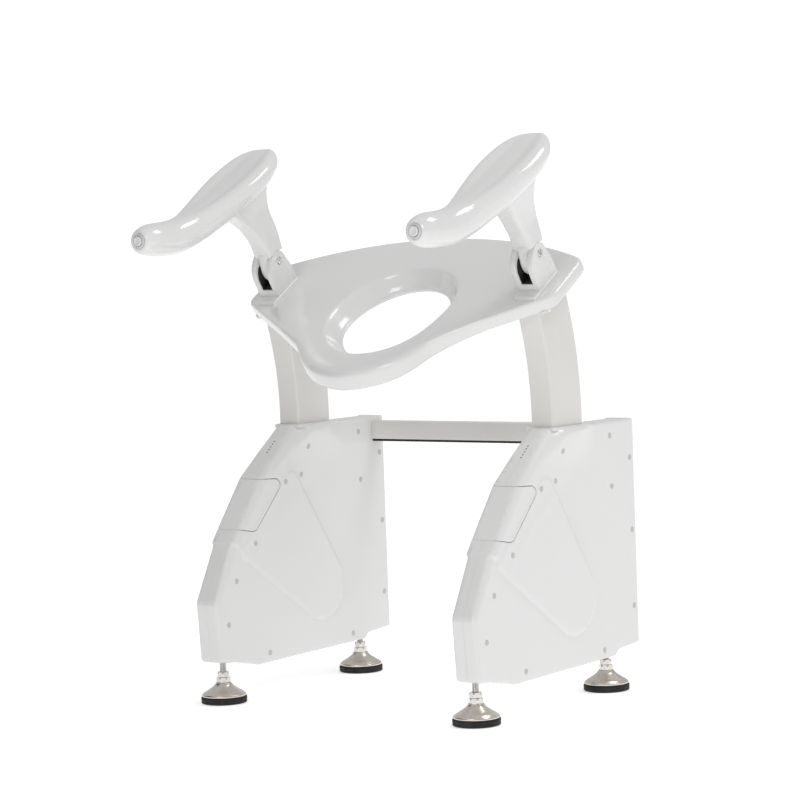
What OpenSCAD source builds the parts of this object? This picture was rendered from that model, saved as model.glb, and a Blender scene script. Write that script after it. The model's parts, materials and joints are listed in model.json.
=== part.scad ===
// Powered toilet lift: two slim columns on levelling feet, a rear crossbar, curved lift arms that
// carry the seat up and forward, and two fold-up armrests with a push button in each handle.
// Millimetres, +X to the right, +Y to the rear, +Z up, floor at z = 0.
// Column heights and depths are given from the front feet's axis (y = 0) before the frame shift.

/* [Columns] */
// Distance from the centre plane to each column's middle plane
column_x = 280; // [275:1:285]
// Half the width of a column's flat side panels
column_half = 26; // [26:0.5:28]
// Wall thickness of the plastic covers
cover_wall = 2.2; // [1.8:0.1:2.4]
// Radius on the long edges of the covers
cover_round = 7; // [5:1:8]
// Height of the column tops
column_top = 481; // [478:1:484]
// Rear face of the columns, behind the front feet
column_rear = 467; // [465:1:470]
// Half width of the collar around the arm, at the top front
collar_half = 39; // [36:1:41]
// How far the side bulges stand out from the panels
bulge_height = 5; // [3:0.5:6]

/* [Feet] */
// Distance between the front and rear feet
foot_pitch = 400; // [395:1:405]
// Distance from the centre plane to the feet
foot_x = 276; // [272:1:280]
// Radius of the rubber pad under a foot
pad_radius = 41; // [38:1:43]
// Radius of the foot's threaded stem
stem_radius = 6; // [5.5:0.1:6.5]

/* [Lift] */
// Distance from the centre plane to each lift arm's middle
arm_x = 280; // [280:0.5:280.5]
// Width of a lift arm across the stool
arm_width = 46; // [42:1:46]
// Radius of the arm's front face about the lift's centre
arm_front_radius = 552; // [550:1:554]
// Radius of the arm's rear face about the lift's centre
arm_rear_radius = 645; // [643:1:647]
// How far below the lift's centre the arm's lower end hangs when raised, in degrees
arm_tail_angle = 14; // [13:0.5:14]
// Number of teeth the rack would have on a full circle
rack_teeth_full = 428; // [428:1:428]
// Teeth on the drive pinion
pinion_teeth = 12; // [12:1:12]
// Gear module of rack and pinion
gear_module = 3; // [3:1:3]

/* [Seat] */
// Forward tilt of the raised seat
seat_tilt = 32; // [31:0.5:33]
// Half width of the seat over its wings
seat_half = 336; // [332:1:338]
// Half width of the seat's opening at the top
opening_half = 122; // [116:1:126]
// Half length of the seat's opening at the top
opening_length = 123; // [118:1:126]

/* [Armrests] */
// Distance from the centre plane to the middle of each armrest bracket
bracket_x = 286; // [285:0.5:287]
// Height of the hinge pin over the seat wing's underside
pin_height = 80; // [78:1:82]
// Width of a bracket over its two ears
bracket_width = 46; // [44:1:48]
// Width of the slot between the ears
bracket_slot = 24; // [22:1:25]
// Radius of the armrest's hinge pin
pin_radius = 5; // [4:0.5:6]
// Radius of the push button
button_radius = 8.5; // [7:0.5:10]

/* [Hidden] */

left = -1;
right = 1;
touch = 0.01;
run_gap = 0.05;
seam_gap = 0.5;

// Colours
white_gloss = "#f1f1ef";
painted_arm = "#e4e1d8";
steel = "#b9b4ac";
bare_steel = "#8f8f92";
rubber_black = "#151515";
soft_grey = "#a9aba6";
battery_grey = "#5b6066";

// Column outline from the side, front bottom first, then round over the top to the rear
knee = [-36, 182];
ledge = [18, 284];
seam = [100, 393];
top_front = [206, column_top];
convex_outline = [
    [-27, 74], knee, ledge, seam, top_front,
    [column_rear, column_top], [column_rear, 79], [389, 58], [75, 58]
];

// Lift centre, and the arm's angles about it
lift_y = -335;
lift_z = 495;
arm_head_angle = 27;

// Guide rollers and the pinion run on the arm's faces
roller_radius = 15;
roller_half = 15;
roller_bore = 4 + run_gap;
axle_radius = 4;
front_roller_angle = -8;
rear_roller_angle = -12.5;
pinion_angle = -6;
pitch_radius = gear_module * rack_teeth_full / 2;
pinion_pitch = gear_module * pinion_teeth / 2;
function about_lift(r, a) = [lift_y + r * cos(a), lift_z + r * sin(a)];
front_roller = about_lift(arm_front_radius - roller_radius - 0.3, front_roller_angle);
rear_roller = about_lift(arm_rear_radius + roller_radius + 0.3, rear_roller_angle);
pinion_at = about_lift(pitch_radius + pinion_pitch, pinion_angle);

// Steel frame inside a column
tube_half = 17;
beam_low = 84;
beam_high = 112;
upright_front = 428;
upright_rear = 462;

// Crossbar between the two columns
bar_front = 431;
bar_rear = 459;
bar_low = 438;
bar_high = 472;

// Seat frame: origin on the wing's underside at its front corner, tilted about X
seat_y = 189;
seat_z = 689;
wing_top = 22;
opening_mid = -17;
flange_half = 40;
flange_thick = 6;
flange_front = -14;
flange_back = 98;
bolt_radius = 4;

// Armrest pivot, in the seat frame
pin_along = 46.7;
ear_radius = 19;
ear_thick = (bracket_width - bracket_slot) / 2;
bracket_low = -53;
fold_reach = 60;
tongue_half = bracket_slot / 2 - 0.4;
post_lean = 20;

// Handle tip of the armrest, on the pad's own line
handle_x = 297.5;
tip_y = -154;
tip_z = 826;
bezel_proud = 2;
button_proud = 3;

// Middle of the whole stool from front to rear, taken as the frame's origin
frame_shift = -(column_rear + tip_y - bezel_proud - button_proud) / 2;

module at_frame(side = right) {
    translate([0, frame_shift, 0]) mirror([side < 0 ? 1 : 0, 0, 0]) children();
}

// Extrudes a side-view shape across a column, to a half width about a plane
module across(x, half) {
    translate([x - half, 0, 0]) rotate([90, 0, 90]) linear_extrude(2 * half) children();
}

module seat_frame() {
    translate([0, seat_y, seat_z]) rotate([seat_tilt, 0, 0]) children();
}

module pin_frame() {
    seat_frame() translate([0, pin_along, pin_height]) children();
}

// ---------- Column covers ----------

module column_body(inset) {
    hull() for (side = [-1, 1], a = [0, 30, 60, 90])
        translate([column_x + side * (column_half - cover_round + cover_round * sin(a) - inset), 0, 0])
            rotate([90, 0, 90]) linear_extrude(0.02, center = true)
                offset(delta = -inset - cover_round * (1 - cos(a))) polygon(convex_outline);
}

// The body widens towards the arm's collar at the top front
module column_flare(inset) {
    rear_fade = 345;
    hull() {
        across(column_x, collar_half - inset) polygon([
            top_front + [3 + inset, -inset - 3], top_front + [70, -inset - 3],
            top_front + [70, -20], top_front + [-8 + inset, -14]
        ]);
        across(column_x, column_half + 5 - inset) polygon([
            seam + [2 + inset, 0], seam + [60, 10], seam + [60, -20], seam + [-10 + inset, -18]
        ]);
        across(column_x, column_half + 4 - inset) polygon([
            ledge + [2 + inset, 4], ledge + [40, 4], ledge + [40, 0], ledge + [0.5 + inset, 0]
        ]);
        across(column_x, column_half - 0.2 - inset) polygon([
            [rear_fade, column_top - inset], [rear_fade + 2, 330], [120, 250], ledge + [6 + inset, 0]
        ]);
    }
}

bulge_points = [[178, 372, 24], [262, 182, 60], [46, 268, 10]];

module column_bulge(inset) {
    slope = 10;
    hull() for (p = bulge_points) {
        translate([column_x, p[0], p[1]]) rotate([0, 90, 0])
            cylinder(h = 2 * (column_half + bulge_height - inset), r = p[2], center = true, $fn = 32);
        translate([column_x, p[0], p[1]]) rotate([0, 90, 0])
            cylinder(h = 2 * (column_half - 0.2 - inset), r = p[2] + slope, center = true, $fn = 32);
    }
}

module column_skin(inset = 0) {
    column_body(inset);
    column_flare(inset);
    column_bulge(inset);
}

// Battery door's outline from the side; it wraps round the front edge onto both faces
door_outline = [[10, 304], [66, 301], [76, 303], [146, 372], [148, 382], [138, 389], [60, 395]];

// Slot in the column's top for the cap that surrounds the arm
cap_front = top_front[0] + 4;
cap_rear = 316;
cap_depth = 6;

// Side-view places of the cover screws, and how far each stands from the middle plane
screw_places = [
    [230, 440, 33], [212, 390, 31], [163, 381, 32], [390, 455, 0], [453, 411, 0], [392, 365, 0],
    [72, 278, 29], [21, 215, 0], [-5, 140, 0], [107, 76, 0], [352, 79, 0], [454, 282, 0], [453, 146, 0]
];
screw_cap_radius = 5;

// Charging socket in the column's rear face
socket_half = 14;
socket_low = 350;

module screw_cylinders(extra = 0) {
    for (p = screw_places, side = [-1, 1])
        translate([column_x + side * (column_half - cover_wall), p[0], p[1]])
            rotate([0, 90 * side, 0])
                cylinder(
                    h = max(column_half, p[2]) - column_half + cover_wall + 0.8 + extra,
                    r = screw_cap_radius, $fn = 32
                );
}

module light_cylinders(extra = 0) {
    rise = (top_front - seam) / norm(top_front - seam);
    out = [-rise[1], rise[0]];
    for (k = [0:4]) {
        at = seam + rise * (66 + 7 * k);
        translate([column_x, at[0], at[1]])
            rotate([90 - atan2(out[1], -out[0]), 0, 0])
                translate([0, 0, -3]) cylinder(h = 4.6 + extra, r = 1.4, $fn = 24);
    }
}

module cover_shell() {
    difference() {
        column_skin(0);
        column_skin(cover_wall);
        // Underside steps
        across(column_x, 60) polygon([[-60, 40], [75, 40], [75, 58], [47, 68], [-27, 74], [-60, 76]]);
        across(column_x, 60) polygon([[389, 40], [500, 40], [500, 81.4], [467, 79], [400, 74], [389, 64]]);
        // Battery door with its seam
        across(column_x, 60) offset(delta = seam_gap) polygon(door_outline);
        // Cap around the arm
        translate([column_x - 30, cap_front, column_top - cap_depth])
            cube([60, cap_rear - cap_front, 40]);
        for (y = [0, foot_pitch])
            translate([foot_x, y, 50]) cylinder(h = 60, r = 11, $fn = 32);
        translate([column_x - socket_half - 0.2, column_rear - 10, socket_low - 0.2])
            cube([2 * socket_half + 0.4, 20, 20.4]);
        screw_cylinders(20);
        light_cylinders(20);
    }
}

module cover_half(side, way, skin_colour) {
    color(skin_colour) at_frame(side) difference() {
        cover_shell();
        translate([column_x - (way > 0 ? 80 : 0), -100, 0]) cube([80, 700, 600]);
        // Passage for the crossbar through the inner cover
        translate([column_x - 60, bar_front - 0.4, bar_low - 0.4])
            cube([60, bar_rear - bar_front + 0.8, bar_high - bar_low + 0.8]);
    }
}

module outer_cover(side) {
    cover_half(side, 1, white_gloss);
}

module inner_cover(side) {
    cover_half(side, -1, white_gloss);
}

module top_cap(side) {
    slot_gap = 0.6;
    color(white_gloss) at_frame(side) difference() {
        translate([column_x - 29.8, cap_front + 0.2, column_top - cap_depth + 0.2])
            cube([59.6, cap_rear - cap_front - 0.4, cap_depth + 0.6]);
        arm_band(arm_front_radius - slot_gap, arm_rear_radius + slot_gap, -3, 3, arm_width / 2 + slot_gap);
    }
}

module battery_door(side) {
    color(white_gloss) at_frame(side) intersection() {
        difference() {
            column_skin(0);
            column_skin(cover_wall);
        }
        across(column_x, 60) polygon(door_outline);
    }
}

module battery_pack(side) {
    rise = (seam - ledge) / norm(seam - ledge);
    color(battery_grey) at_frame(side)
        translate([column_x - 21, ledge[0] + 18, ledge[1] + 8])
            rotate([atan2(rise[1], rise[0]) - 90, 0, 0]) {
                cube([42, 34, 92]);
                translate([13, 9, 92]) cube([16, 16, 5]);
            }
}

module indicator_lights(side) {
    color("#5d8a5d") at_frame(side) light_cylinders();
}

module cover_screws(side) {
    color(soft_grey) at_frame(side) screw_cylinders();
}

// ---------- Frame, drive and rollers ----------

module x_cylinder(at, r, half, x = column_x) {
    translate([x, at[0], at[1]]) rotate([0, 90, 0]) cylinder(h = 2 * half, r = r, center = true, $fn = 48);
}

module frame(side) {
    cheek_in = roller_half + 1;
    color(bare_steel) at_frame(side) difference() {
        union() {
            translate([column_x - tube_half, -20, beam_low])
                cube([2 * tube_half, upright_rear + 20, beam_high - beam_low]);
            translate([column_x - tube_half, upright_front, beam_high - touch])
                cube([2 * tube_half, upright_rear - upright_front, 470 - beam_high]);
            // Front post, bent to follow the front of the column
            across(column_x, tube_half) polygon([
                [78, beam_high - touch], [104, beam_high - touch], [104, 262],
                [170, 352], [152, 366], [78, 271]
            ]);
            // Cheeks that carry the front roller
            for (x = [-1, 1]) across(column_x + x * (cheek_in + 1.5), 1.5) hull() {
                translate(front_roller) circle(r = 9, $fn = 48);
                translate([158, 352]) circle(r = 9, $fn = 48);
            }
            // Cross block that takes the crossbar
            translate([column_x - tube_half - 3, bar_front, bar_low])
                cube([4, bar_rear - bar_front, bar_high - bar_low]);
        }
        x_cylinder(front_roller, axle_radius, 30);
        for (y = [0, foot_pitch])
            translate([foot_x, y, 60]) cylinder(h = 80, r = stem_radius + run_gap, $fn = 48);
    }
}

module gearmotor(side) {
    cheek_in = 12.5;
    cheek_out = 19;
    motor_y = 392;
    color(bare_steel) at_frame(side) {
        difference() {
            union() {
                translate([column_x - cheek_out, 356, pinion_at[1] - 34])
                    cube([2 * cheek_out, upright_front - 356, 62]);
                across(column_x, cheek_out) hull() {
                    translate(pinion_at) circle(r = 10, $fn = 48);
                    translate([362, pinion_at[1]]) circle(r = 18, $fn = 48);
                }
                // Legs that carry the rear roller
                across(column_x, cheek_out) hull() {
                    translate(rear_roller) circle(r = 9, $fn = 48);
                    translate([368, pinion_at[1] - 30]) circle(r = 10, $fn = 48);
                }
            }
            x_cylinder(pinion_at, pinion_pitch + gear_module + 1.5, cheek_in);
            x_cylinder(pinion_at, axle_radius + run_gap, 40);
            x_cylinder(rear_roller, axle_radius, 40);
            // Space for the rear roller
            x_cylinder(rear_roller, roller_radius + 1.2, roller_half + 1);
            translate([column_x - roller_half - 1, rear_roller[0] - 30, rear_roller[1] - 40])
                cube([2 * roller_half + 2, 32, 62]);
        }
        translate([column_x, motor_y, 206]) cylinder(h = pinion_at[1] - 34 - 206, r = 19, $fn = 64);
        translate([column_x, motor_y, 198]) cylinder(h = 8 + touch, r = 12, $fn = 48);
    }
}

// Trapezoid teeth for the pinion, cut as one outline
module pinion_outline() {
    tip = pinion_pitch + 0.9 * gear_module;
    root = pinion_pitch - 1.25 * gear_module;
    pitch_angle = 360 / pinion_teeth;
    union() {
        circle(r = root, $fn = 48);
        for (k = [0:pinion_teeth - 1])
            rotate(k * pitch_angle) polygon([
                [root - 1, -3.0], [pinion_pitch, -1.9], [tip, -0.9],
                [tip, 0.9], [pinion_pitch, 1.9], [root - 1, 3.0]
            ]);
    }
}

module pinion(side) {
    // A tooth gap of the pinion faces the rack at rest
    face = 180 + pinion_angle + 180 / pinion_teeth;
    color(steel) at_frame(side) {
        translate([column_x, pinion_at[0], pinion_at[1]]) rotate([90, 0, 90]) rotate(face)
            linear_extrude(16, center = true) pinion_outline();
        x_cylinder(pinion_at, axle_radius, 18);
    }
}

module roller(side, at) {
    color(soft_grey) at_frame(side) difference() {
        x_cylinder(at, roller_radius, roller_half);
        x_cylinder(at, roller_bore, roller_half + 5);
    }
}

module roller_axles(side) {
    color(steel) at_frame(side) for (at = [front_roller, rear_roller])
        x_cylinder(at, axle_radius, 20);
}

// ---------- Lift arms ----------

// Ring sector about the lift's centre, from one angle to another
module arm_band(r1, r2, a1, a2, half) {
    translate([arm_x - half, lift_y, lift_z]) rotate([90, 0, 90]) rotate(a1)
        rotate_extrude_flat(r1, r2, a2 - a1, 2 * half);
}

module rotate_extrude_flat(r1, r2, sweep, width) {
    rotate_extrude(angle = sweep, $fn = 360) translate([r1, 0]) square([r2 - r1, width]);
}

module below_seat(depth) {
    seat_frame() translate([-500, -400, -depth]) cube([1000, 900, 400]);
}

module lift_arm(side) {
    rack_half = 9;
    wall = 3.5;
    color(painted_arm) at_frame(side) difference() {
        union() {
            difference() {
                arm_band(arm_front_radius, arm_rear_radius, -arm_tail_angle, arm_head_angle, arm_width / 2);
                // Hollow of the arm, closed at the top
                arm_band(
                    arm_front_radius + wall, arm_rear_radius - 14,
                    -arm_tail_angle - 1, 18, arm_width / 2 - wall
                );
                // Channel for the rack in the rear face
                arm_band(arm_rear_radius - 10, arm_rear_radius + 1, -arm_tail_angle - 1, 16, rack_half);
                below_seat(flange_thick);
            }
            seat_frame() translate([arm_x - flange_half, flange_front, -flange_thick])
                cube([2 * flange_half, flange_back - flange_front, flange_thick]);
        }
        seat_frame() bolt_places() translate([0, 0, -20]) cylinder(h = 40, r = bolt_radius, $fn = 32);
    }
}

module bolt_places() {
    for (x = [-32, 32], y = [6, 78]) translate([arm_x + x, y, 0]) children();
}

module rack(side) {
    root = pitch_radius - 1.25 * gear_module;
    tip = pitch_radius + 0.9 * gear_module;
    step = 360 / rack_teeth_full;
    tooth_low = -ceil(arm_tail_angle / step) + 1;
    tooth_high = 18;
    color(steel) at_frame(side) {
        arm_band(arm_rear_radius - 10, root, -arm_tail_angle + 0.1, (tooth_high + 0.6) * step, 8.5);
        for (k = [tooth_low:tooth_high])
            translate([arm_x - 8.5, lift_y, lift_z]) rotate([90, 0, 90])
                rotate(pinion_angle + (k - round(pinion_angle / step)) * step)
                    linear_extrude(17) polygon([
                        [root - touch, -3.0], [pitch_radius, -1.9], [tip, -0.9],
                        [tip, 0.9], [pitch_radius, 1.9], [root - touch, 3.0]
                    ]);
    }
}

// ---------- Seat ----------

seat_sides = 96;

function smooth_min(a, b, k) = -ln(exp(-a / k) + exp(-b / k)) * k;
function smooth_max(a, b, k) = ln(exp(a / k) + exp(b / k)) * k;

// Distance from the opening's middle to a straight edge, along direction f
function to_edge(f, facing, reach) =
    let (c = cos(f - facing)) c > 0.05 ? reach / c : 2000;

function to_circle(f, mid, r) =
    let (d = mid * sin(f)) d + sqrt(r * r - mid * mid + d * d);

function to_ellipse(f, mid, a, b) =
    let (
        qa = pow(cos(f) / a, 2) + pow(sin(f) / b, 2),
        qb = -2 * mid * sin(f) / (b * b),
        qc = mid * mid / (b * b) - 1
    ) (-qb + sqrt(qb * qb - 4 * qa * qc)) / (2 * qa);

wing_edge_facing = -57;
wing_edge_reach = 167.6;
rear_edge_radius = 738;

// Outer outline of the seat, seen square on
function seat_reach(f) =
    let (
        rear = to_circle(f, 199 - rear_edge_radius - opening_mid, rear_edge_radius),
        sides = min(to_edge(f, 0, seat_half), to_edge(f, 180, seat_half)),
        fronts = smooth_min(
            to_edge(f, wing_edge_facing, wing_edge_reach),
            to_edge(f, 180 - wing_edge_facing, wing_edge_reach), 16
        ),
        wings = smooth_min(smooth_min(rear, sides, 7), fronts, 7),
        ring = to_ellipse(f, -58 - opening_mid, 155, 149)
    ) smooth_max(wings, ring, 4);

// 1 at the front of the seat, 0 from the sides to the rear
function frontness(f) = let (s = max(0, -sin(f) * 1.15 - 0.15)) s * s * (3 - 2 * s);

// Rings of the seat's section: distance from the opening's middle, and height
function seat_rings(f) =
    let (
        o = seat_reach(f),
        i = to_ellipse(f, 0, opening_half, opening_length),
        g = frontness(f),
        under = -2 - 26 * g,
        top = wing_top - 12 * g,
        crest = 16 - 8 * g,
        inner_low = -24 - 4 * g
    ) [
        [o - 6, under], [o - 1, under + 4], [o, under + 10], [o - 2, top - 7], [o - 8, top - 1],
        [o - 18, top], [i + 0.35 * (o - i), top - 0.35 * (top - crest)], [i + 12, crest - 1],
        [i + 4, crest - 4], [i, crest - 12], [i - 10, inner_low + 8], [i - 12, inner_low],
        [i - 8, inner_low - 1], [i + 0.3 * (o - i), under - 1 + 0.2 * (inner_low - under)]
    ];

module seat_solid() {
    ring_count = len(seat_rings(0));
    points = [
        for (k = [0:seat_sides - 1]) let (f = 360 * k / seat_sides)
            for (p = seat_rings(f)) [p[0] * cos(f), opening_mid + p[0] * sin(f), p[1]]
    ];
    faces = [
        for (k = [0:seat_sides - 1], j = [0:ring_count - 1]) let (
            kn = (k + 1) % seat_sides,
            jn = (j + 1) % ring_count
        ) each [
            [k * ring_count + j, k * ring_count + jn, kn * ring_count + jn],
            [k * ring_count + j, kn * ring_count + jn, kn * ring_count + j]
        ]
    ];
    polyhedron(points = points, faces = faces);
}

module seat() {
    color(white_gloss) at_frame() seat_frame() difference() {
        seat_solid();
        for (side = [-1, 1]) mirror([side < 0 ? 1 : 0, 0, 0]) {
            translate([arm_x - flange_half - 0.2, flange_front - 0.2, -60])
                cube([2 * flange_half + 0.4, flange_back - flange_front + 0.4, 60]);
            bolt_places() translate([0, 0, -30]) cylinder(h = 42, r = bolt_radius, $fn = 32);
            translate([bracket_x - bracket_width / 2 - 0.1, pin_along - 36.1, pin_height + bracket_low])
                translate([0, 0, -9]) cube([bracket_width + 0.2, 62.2, 60]);
        }
    }
}

module seat_bolts() {
    for (side = [left, right]) color(steel) at_frame(side) seat_frame() bolt_places() {
        translate([0, 0, -flange_thick - 5]) cylinder(h = 5, r = 6.5, $fn = 6);
        translate([0, 0, -flange_thick - touch]) cylinder(h = flange_thick + 10, r = bolt_radius, $fn = 32);
    }
}

// ---------- Armrests ----------

// Ear outline about the pin, with the seat's plane level
module ear_outline(grow = 0) {
    circle(r = ear_radius + grow, $fn = 72);
    polygon([
        [-36 - grow, bracket_low - 9], [26 + grow, bracket_low - 9],
        [26 + grow, -30], [ear_radius + grow, -2],
        [-16 - grow, 10.2 + grow], [-29 - grow, 2], [-36 - grow, -18]
    ]);
}

module armrest_bracket(side) {
    floor_thick = 12;
    stop_front = 15;
    stop_top = -17;
    color(white_gloss) at_frame(side) pin_frame() difference() {
        across(bracket_x, bracket_width / 2) ear_outline();
        // Slot between the ears, open at the front and the top
        across(bracket_x, bracket_slot / 2) polygon([
            [-80, bracket_low + floor_thick], [stop_front, bracket_low + floor_thick],
            [stop_front, stop_top], [80, stop_top], [80, 80], [-80, 80]
        ]);
        x_cylinder([0, 0], pin_radius, 60, bracket_x);
    }
}

module hinge_pin(side) {
    color(steel) at_frame(side) pin_frame() difference() {
        x_cylinder([0, 0], pin_radius, bracket_width / 2 + 0.8, bracket_x);
        for (x = [-1, 1]) translate([bracket_x + x * (bracket_width / 2 + 0.8), 0, 0])
            rotate([0, 90, 0]) cylinder(h = 3, r = 2.6, center = true, $fn = 6);
    }
}

// Stations down the armrest's pad, handle tip first:
// depth, height, half width, thickness over and under its own line, dish of the top
pad_stations = [
    [tip_y, tip_z, 15.5, 15.5, 15.5, 0],
    [-151.5, tip_z, 20, 20, 20, 0],
    [-143, tip_z, 24.5, 24.5, 24.5, 0],
    [-125, 827, 28.5, 28.5, 28.5, 0],
    [-96, 828, 30, 30, 30, 0],
    [-62, 833, 31, 29.5, 32, 0],
    [-24, 847, 34, 27, 34, 1],
    [12, 867, 43, 24, 36, 4.5],
    [48, 888, 52, 22.5, 37, 8],
    [84, 910, 58, 21.5, 37, 10],
    [114, 928, 60, 21, 36, 10.5],
    [140, 944, 58, 20, 34, 10],
    [162, 958, 52, 18.5, 30, 8],
    [180, 969, 42, 16, 24, 6],
    [192, 976, 30, 12.5, 17, 3.5],
    [199, 980, 18, 8, 11, 1.5],
    [203, 982, 5, 3, 4, 0]
];
pad_rings = 49;
pad_sides = 28;

function spline(a, b, c, d, t) =
    0.5 * (2 * b + (c - a) * t + (2 * a - 5 * b + 4 * c - d) * t * t + (3 * b - a - 3 * c + d) * t * t * t);

function pad_station(s) =
    let (
        last = len(pad_stations) - 1,
        i = min(floor(s * last), last - 1),
        t = s * last - i
    ) spline(
        pad_stations[max(i - 1, 0)], pad_stations[i],
        pad_stations[i + 1], pad_stations[min(i + 2, last)], t
    );

function ease(a, b, x) = let (t = min(max((x - a) / (b - a), 0), 1)) t * t * (3 - 2 * t);
function squared(c, power) = sign(c) * pow(abs(c), 2 / power);

// One ring of the pad: round at the handle, flatter and dished at the rear
function pad_section(s) =
    let (
        p = pad_station(s),
        q = pad_station(min(s + 0.015, 1)) - pad_station(max(s - 0.015, 0)),
        long = norm([q[0], q[1]]),
        turn = ease(0.05, 0.2, s),
        lean = [-q[1] / long * turn, q[0] / long * turn + 1 - turn],
        up = lean / norm(lean),
        flat = ease(0.2, 0.45, s)
    ) [
        for (k = [0:pad_sides - 1]) let (
            f = 360 * k / pad_sides,
            over = k < pad_sides / 2,
            power = 2 + 0.3 * flat,
            out = p[2] * squared(cos(f), power),
            dish = over ? p[5] * (1 - ease(0.3, 0.8, abs(out) / p[2])) : 0,
            lift = (over ? p[3] : p[4]) * squared(sin(f), power) - dish
        ) [handle_x + out, p[0] + lift * up[0], p[1] + lift * up[1]]
    ];

module pad_solid() {
    points = [for (r = [0:pad_rings - 1]) each pad_section(r / (pad_rings - 1))];
    sides = [
        for (r = [0:pad_rings - 2], k = [0:pad_sides - 1]) let (
            kn = (k + 1) % pad_sides,
            a = r * pad_sides,
            b = (r + 1) * pad_sides
        ) each [[a + k, b + k, b + kn], [a + k, b + kn, a + kn]]
    ];
    caps = [
        [for (k = [0:pad_sides - 1]) k],
        [for (k = [0:pad_sides - 1]) (pad_rings - 1) * pad_sides + pad_sides - 1 - k]
    ];
    polyhedron(points = points, faces = concat(sides, caps));
}

bezel_radius = 13.5;
bezel_depth = 10;

module armrest_pad(side) {
    color(white_gloss) at_frame(side) difference() {
        pad_solid();
        translate([handle_x, tip_y - 5, tip_z]) rotate([-90, 0, 0])
            cylinder(h = 5 + bezel_depth, r = bezel_radius, $fn = 64);
        translate([handle_x, tip_y, tip_z]) rotate([-90, 0, 0])
            cylinder(h = bezel_depth + 8, r = button_radius + run_gap, $fn = 48);
    }
}

// Side-view places of the post's front and rear, up along the post and across it
post_lower = [[34, -19, 22.8], [60, -31, 25]];
post_upper = [[60, -31, 25], [86, -47, 24], [112, -68, 26]];
post_inner = [[112, -68, 26], [190, -110, 44]];

module post_blocks(places, half) {
    round_r = 9;
    for (p = places, x = [-1, 1], y = [p[1] + round_r, p[2] - round_r])
        translate([bracket_x + x * (half - round_r), y, p[0]]) cylinder(h = 1, r = round_r, $fn = 32);
}

module post_blank() {
    // The post flares from the hinge up to the pad; up is along the post, leaning forward
    rotate([post_lean - seat_tilt, 0, 0]) {
        hull() {
            translate([bracket_x, 0, 0]) rotate([0, 90, 0])
                cylinder(h = bracket_width - 4, r = 20, center = true, $fn = 32);
            post_blocks(post_lower, 22);
        }
        hull() post_blocks(post_upper, 22);
        hull() post_blocks(post_inner, 22);
    }
}

module armrest_post(side) {
    tongue_end = 18;
    color(white_gloss) at_frame(side) difference() {
        union() {
            pin_frame() difference() {
                post_blank();
                // The ears' room through the whole fold
                for (a = [0:10:fold_reach], x = [-1, 1])
                    across(bracket_x + x * (bracket_slot / 2 + 20 - 0.4), 20)
                        rotate(a) ear_outline(0.6);
            }
            pin_frame() rotate([post_lean - seat_tilt, 0, 0]) across(bracket_x, tongue_half) {
                circle(r = 16, $fn = 64);
                translate([-14, -tongue_end]) square([28, tongue_end + 24]);
                translate([0, -tongue_end]) circle(r = 14, $fn = 64);
            }
        }
        // The post ends inside the pad, half way through its thickness
        across(handle_x, 100) polygon(concat(
            [for (s = [0.4:0.1:1]) let (p = pad_station(s)) [p[0], p[1] - 0.4 * p[4]]],
            [[320, 1000], [320, 1200], [-60, 1200]]
        ));
        pin_frame() x_cylinder([0, 0], pin_radius + run_gap, 60, bracket_x);
    }
}

module button_bezel(side) {
    color(soft_grey) at_frame(side) difference() {
        translate([handle_x, tip_y - bezel_proud, tip_z]) rotate([-90, 0, 0])
            cylinder(h = bezel_proud + bezel_depth, r = bezel_radius, $fn = 64);
        translate([handle_x, tip_y - bezel_proud - 1, tip_z]) rotate([-90, 0, 0])
            cylinder(h = bezel_proud + bezel_depth + 2, r = button_radius + run_gap, $fn = 48);
    }
}

module button(side) {
    color(white_gloss) at_frame(side)
        translate([handle_x, tip_y - bezel_proud - button_proud, tip_z]) rotate([-90, 0, 0])
            cylinder(h = bezel_proud + button_proud + bezel_depth, r = button_radius, $fn = 48);
}

// ---------- Crossbar ----------

module crossbar() {
    reach = column_x - tube_half - 3;
    wall = 3;
    color(painted_arm) at_frame() difference() {
        translate([-reach, bar_front, bar_low]) cube([2 * reach, bar_rear - bar_front, bar_high - bar_low]);
        translate([-reach - 1, bar_front + wall, bar_low + wall])
            cube([2 * reach + 2, bar_rear - bar_front - 2 * wall, bar_high - bar_low - 2 * wall]);
    }
}

module crossbar_cable_strip() {
    reach = column_x - column_half - 0.4;
    color(rubber_black) at_frame() translate([-reach, bar_front + 2, bar_low - 4])
        cube([2 * reach, 14, 4]);
}

// Charging sockets, flush in the rear of both columns
module charge_sockets() {
    for (side = [left, right]) color(battery_grey) at_frame(side)
        translate([column_x - socket_half, column_rear - 3.5, socket_low]) difference() {
            cube([2 * socket_half, 3.5, 20]);
            translate([8, 1, 4]) cube([12, 4, 12]);
        }
}

// ---------- Levelling feet ----------

module foot_stem(side, y) {
    color(steel) at_frame(side) translate([foot_x, y, 0]) {
        translate([0, 0, 30]) cylinder(h = 72, r = stem_radius, $fn = 48);
        translate([0, 0, 36.5]) difference() {
            cylinder(h = 9, r = 12.4, $fn = 6);
            translate([0, 0, -1]) cylinder(h = 11, r = stem_radius, $fn = 48);
        }
        translate([0, 0, 46]) difference() {
            cylinder(h = 9, r = 11.2, $fn = 6);
            translate([0, 0, -1]) cylinder(h = 11, r = stem_radius, $fn = 48);
        }
    }
}

module foot_base(side, y) {
    rim = pad_radius - 1.5;
    color(steel) at_frame(side) translate([foot_x, y, 0]) difference() {
        rotate_extrude($fn = 96) polygon([
            [0, 12], [rim, 12], [rim, 15.5], [rim - 2.5, 18.5],
            [rim - 8, 21], [15, 33.5], [13, 36.5], [0, 36.5]
        ]);
        translate([0, 0, 30]) cylinder(h = 10, r = stem_radius, $fn = 48);
    }
}

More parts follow.
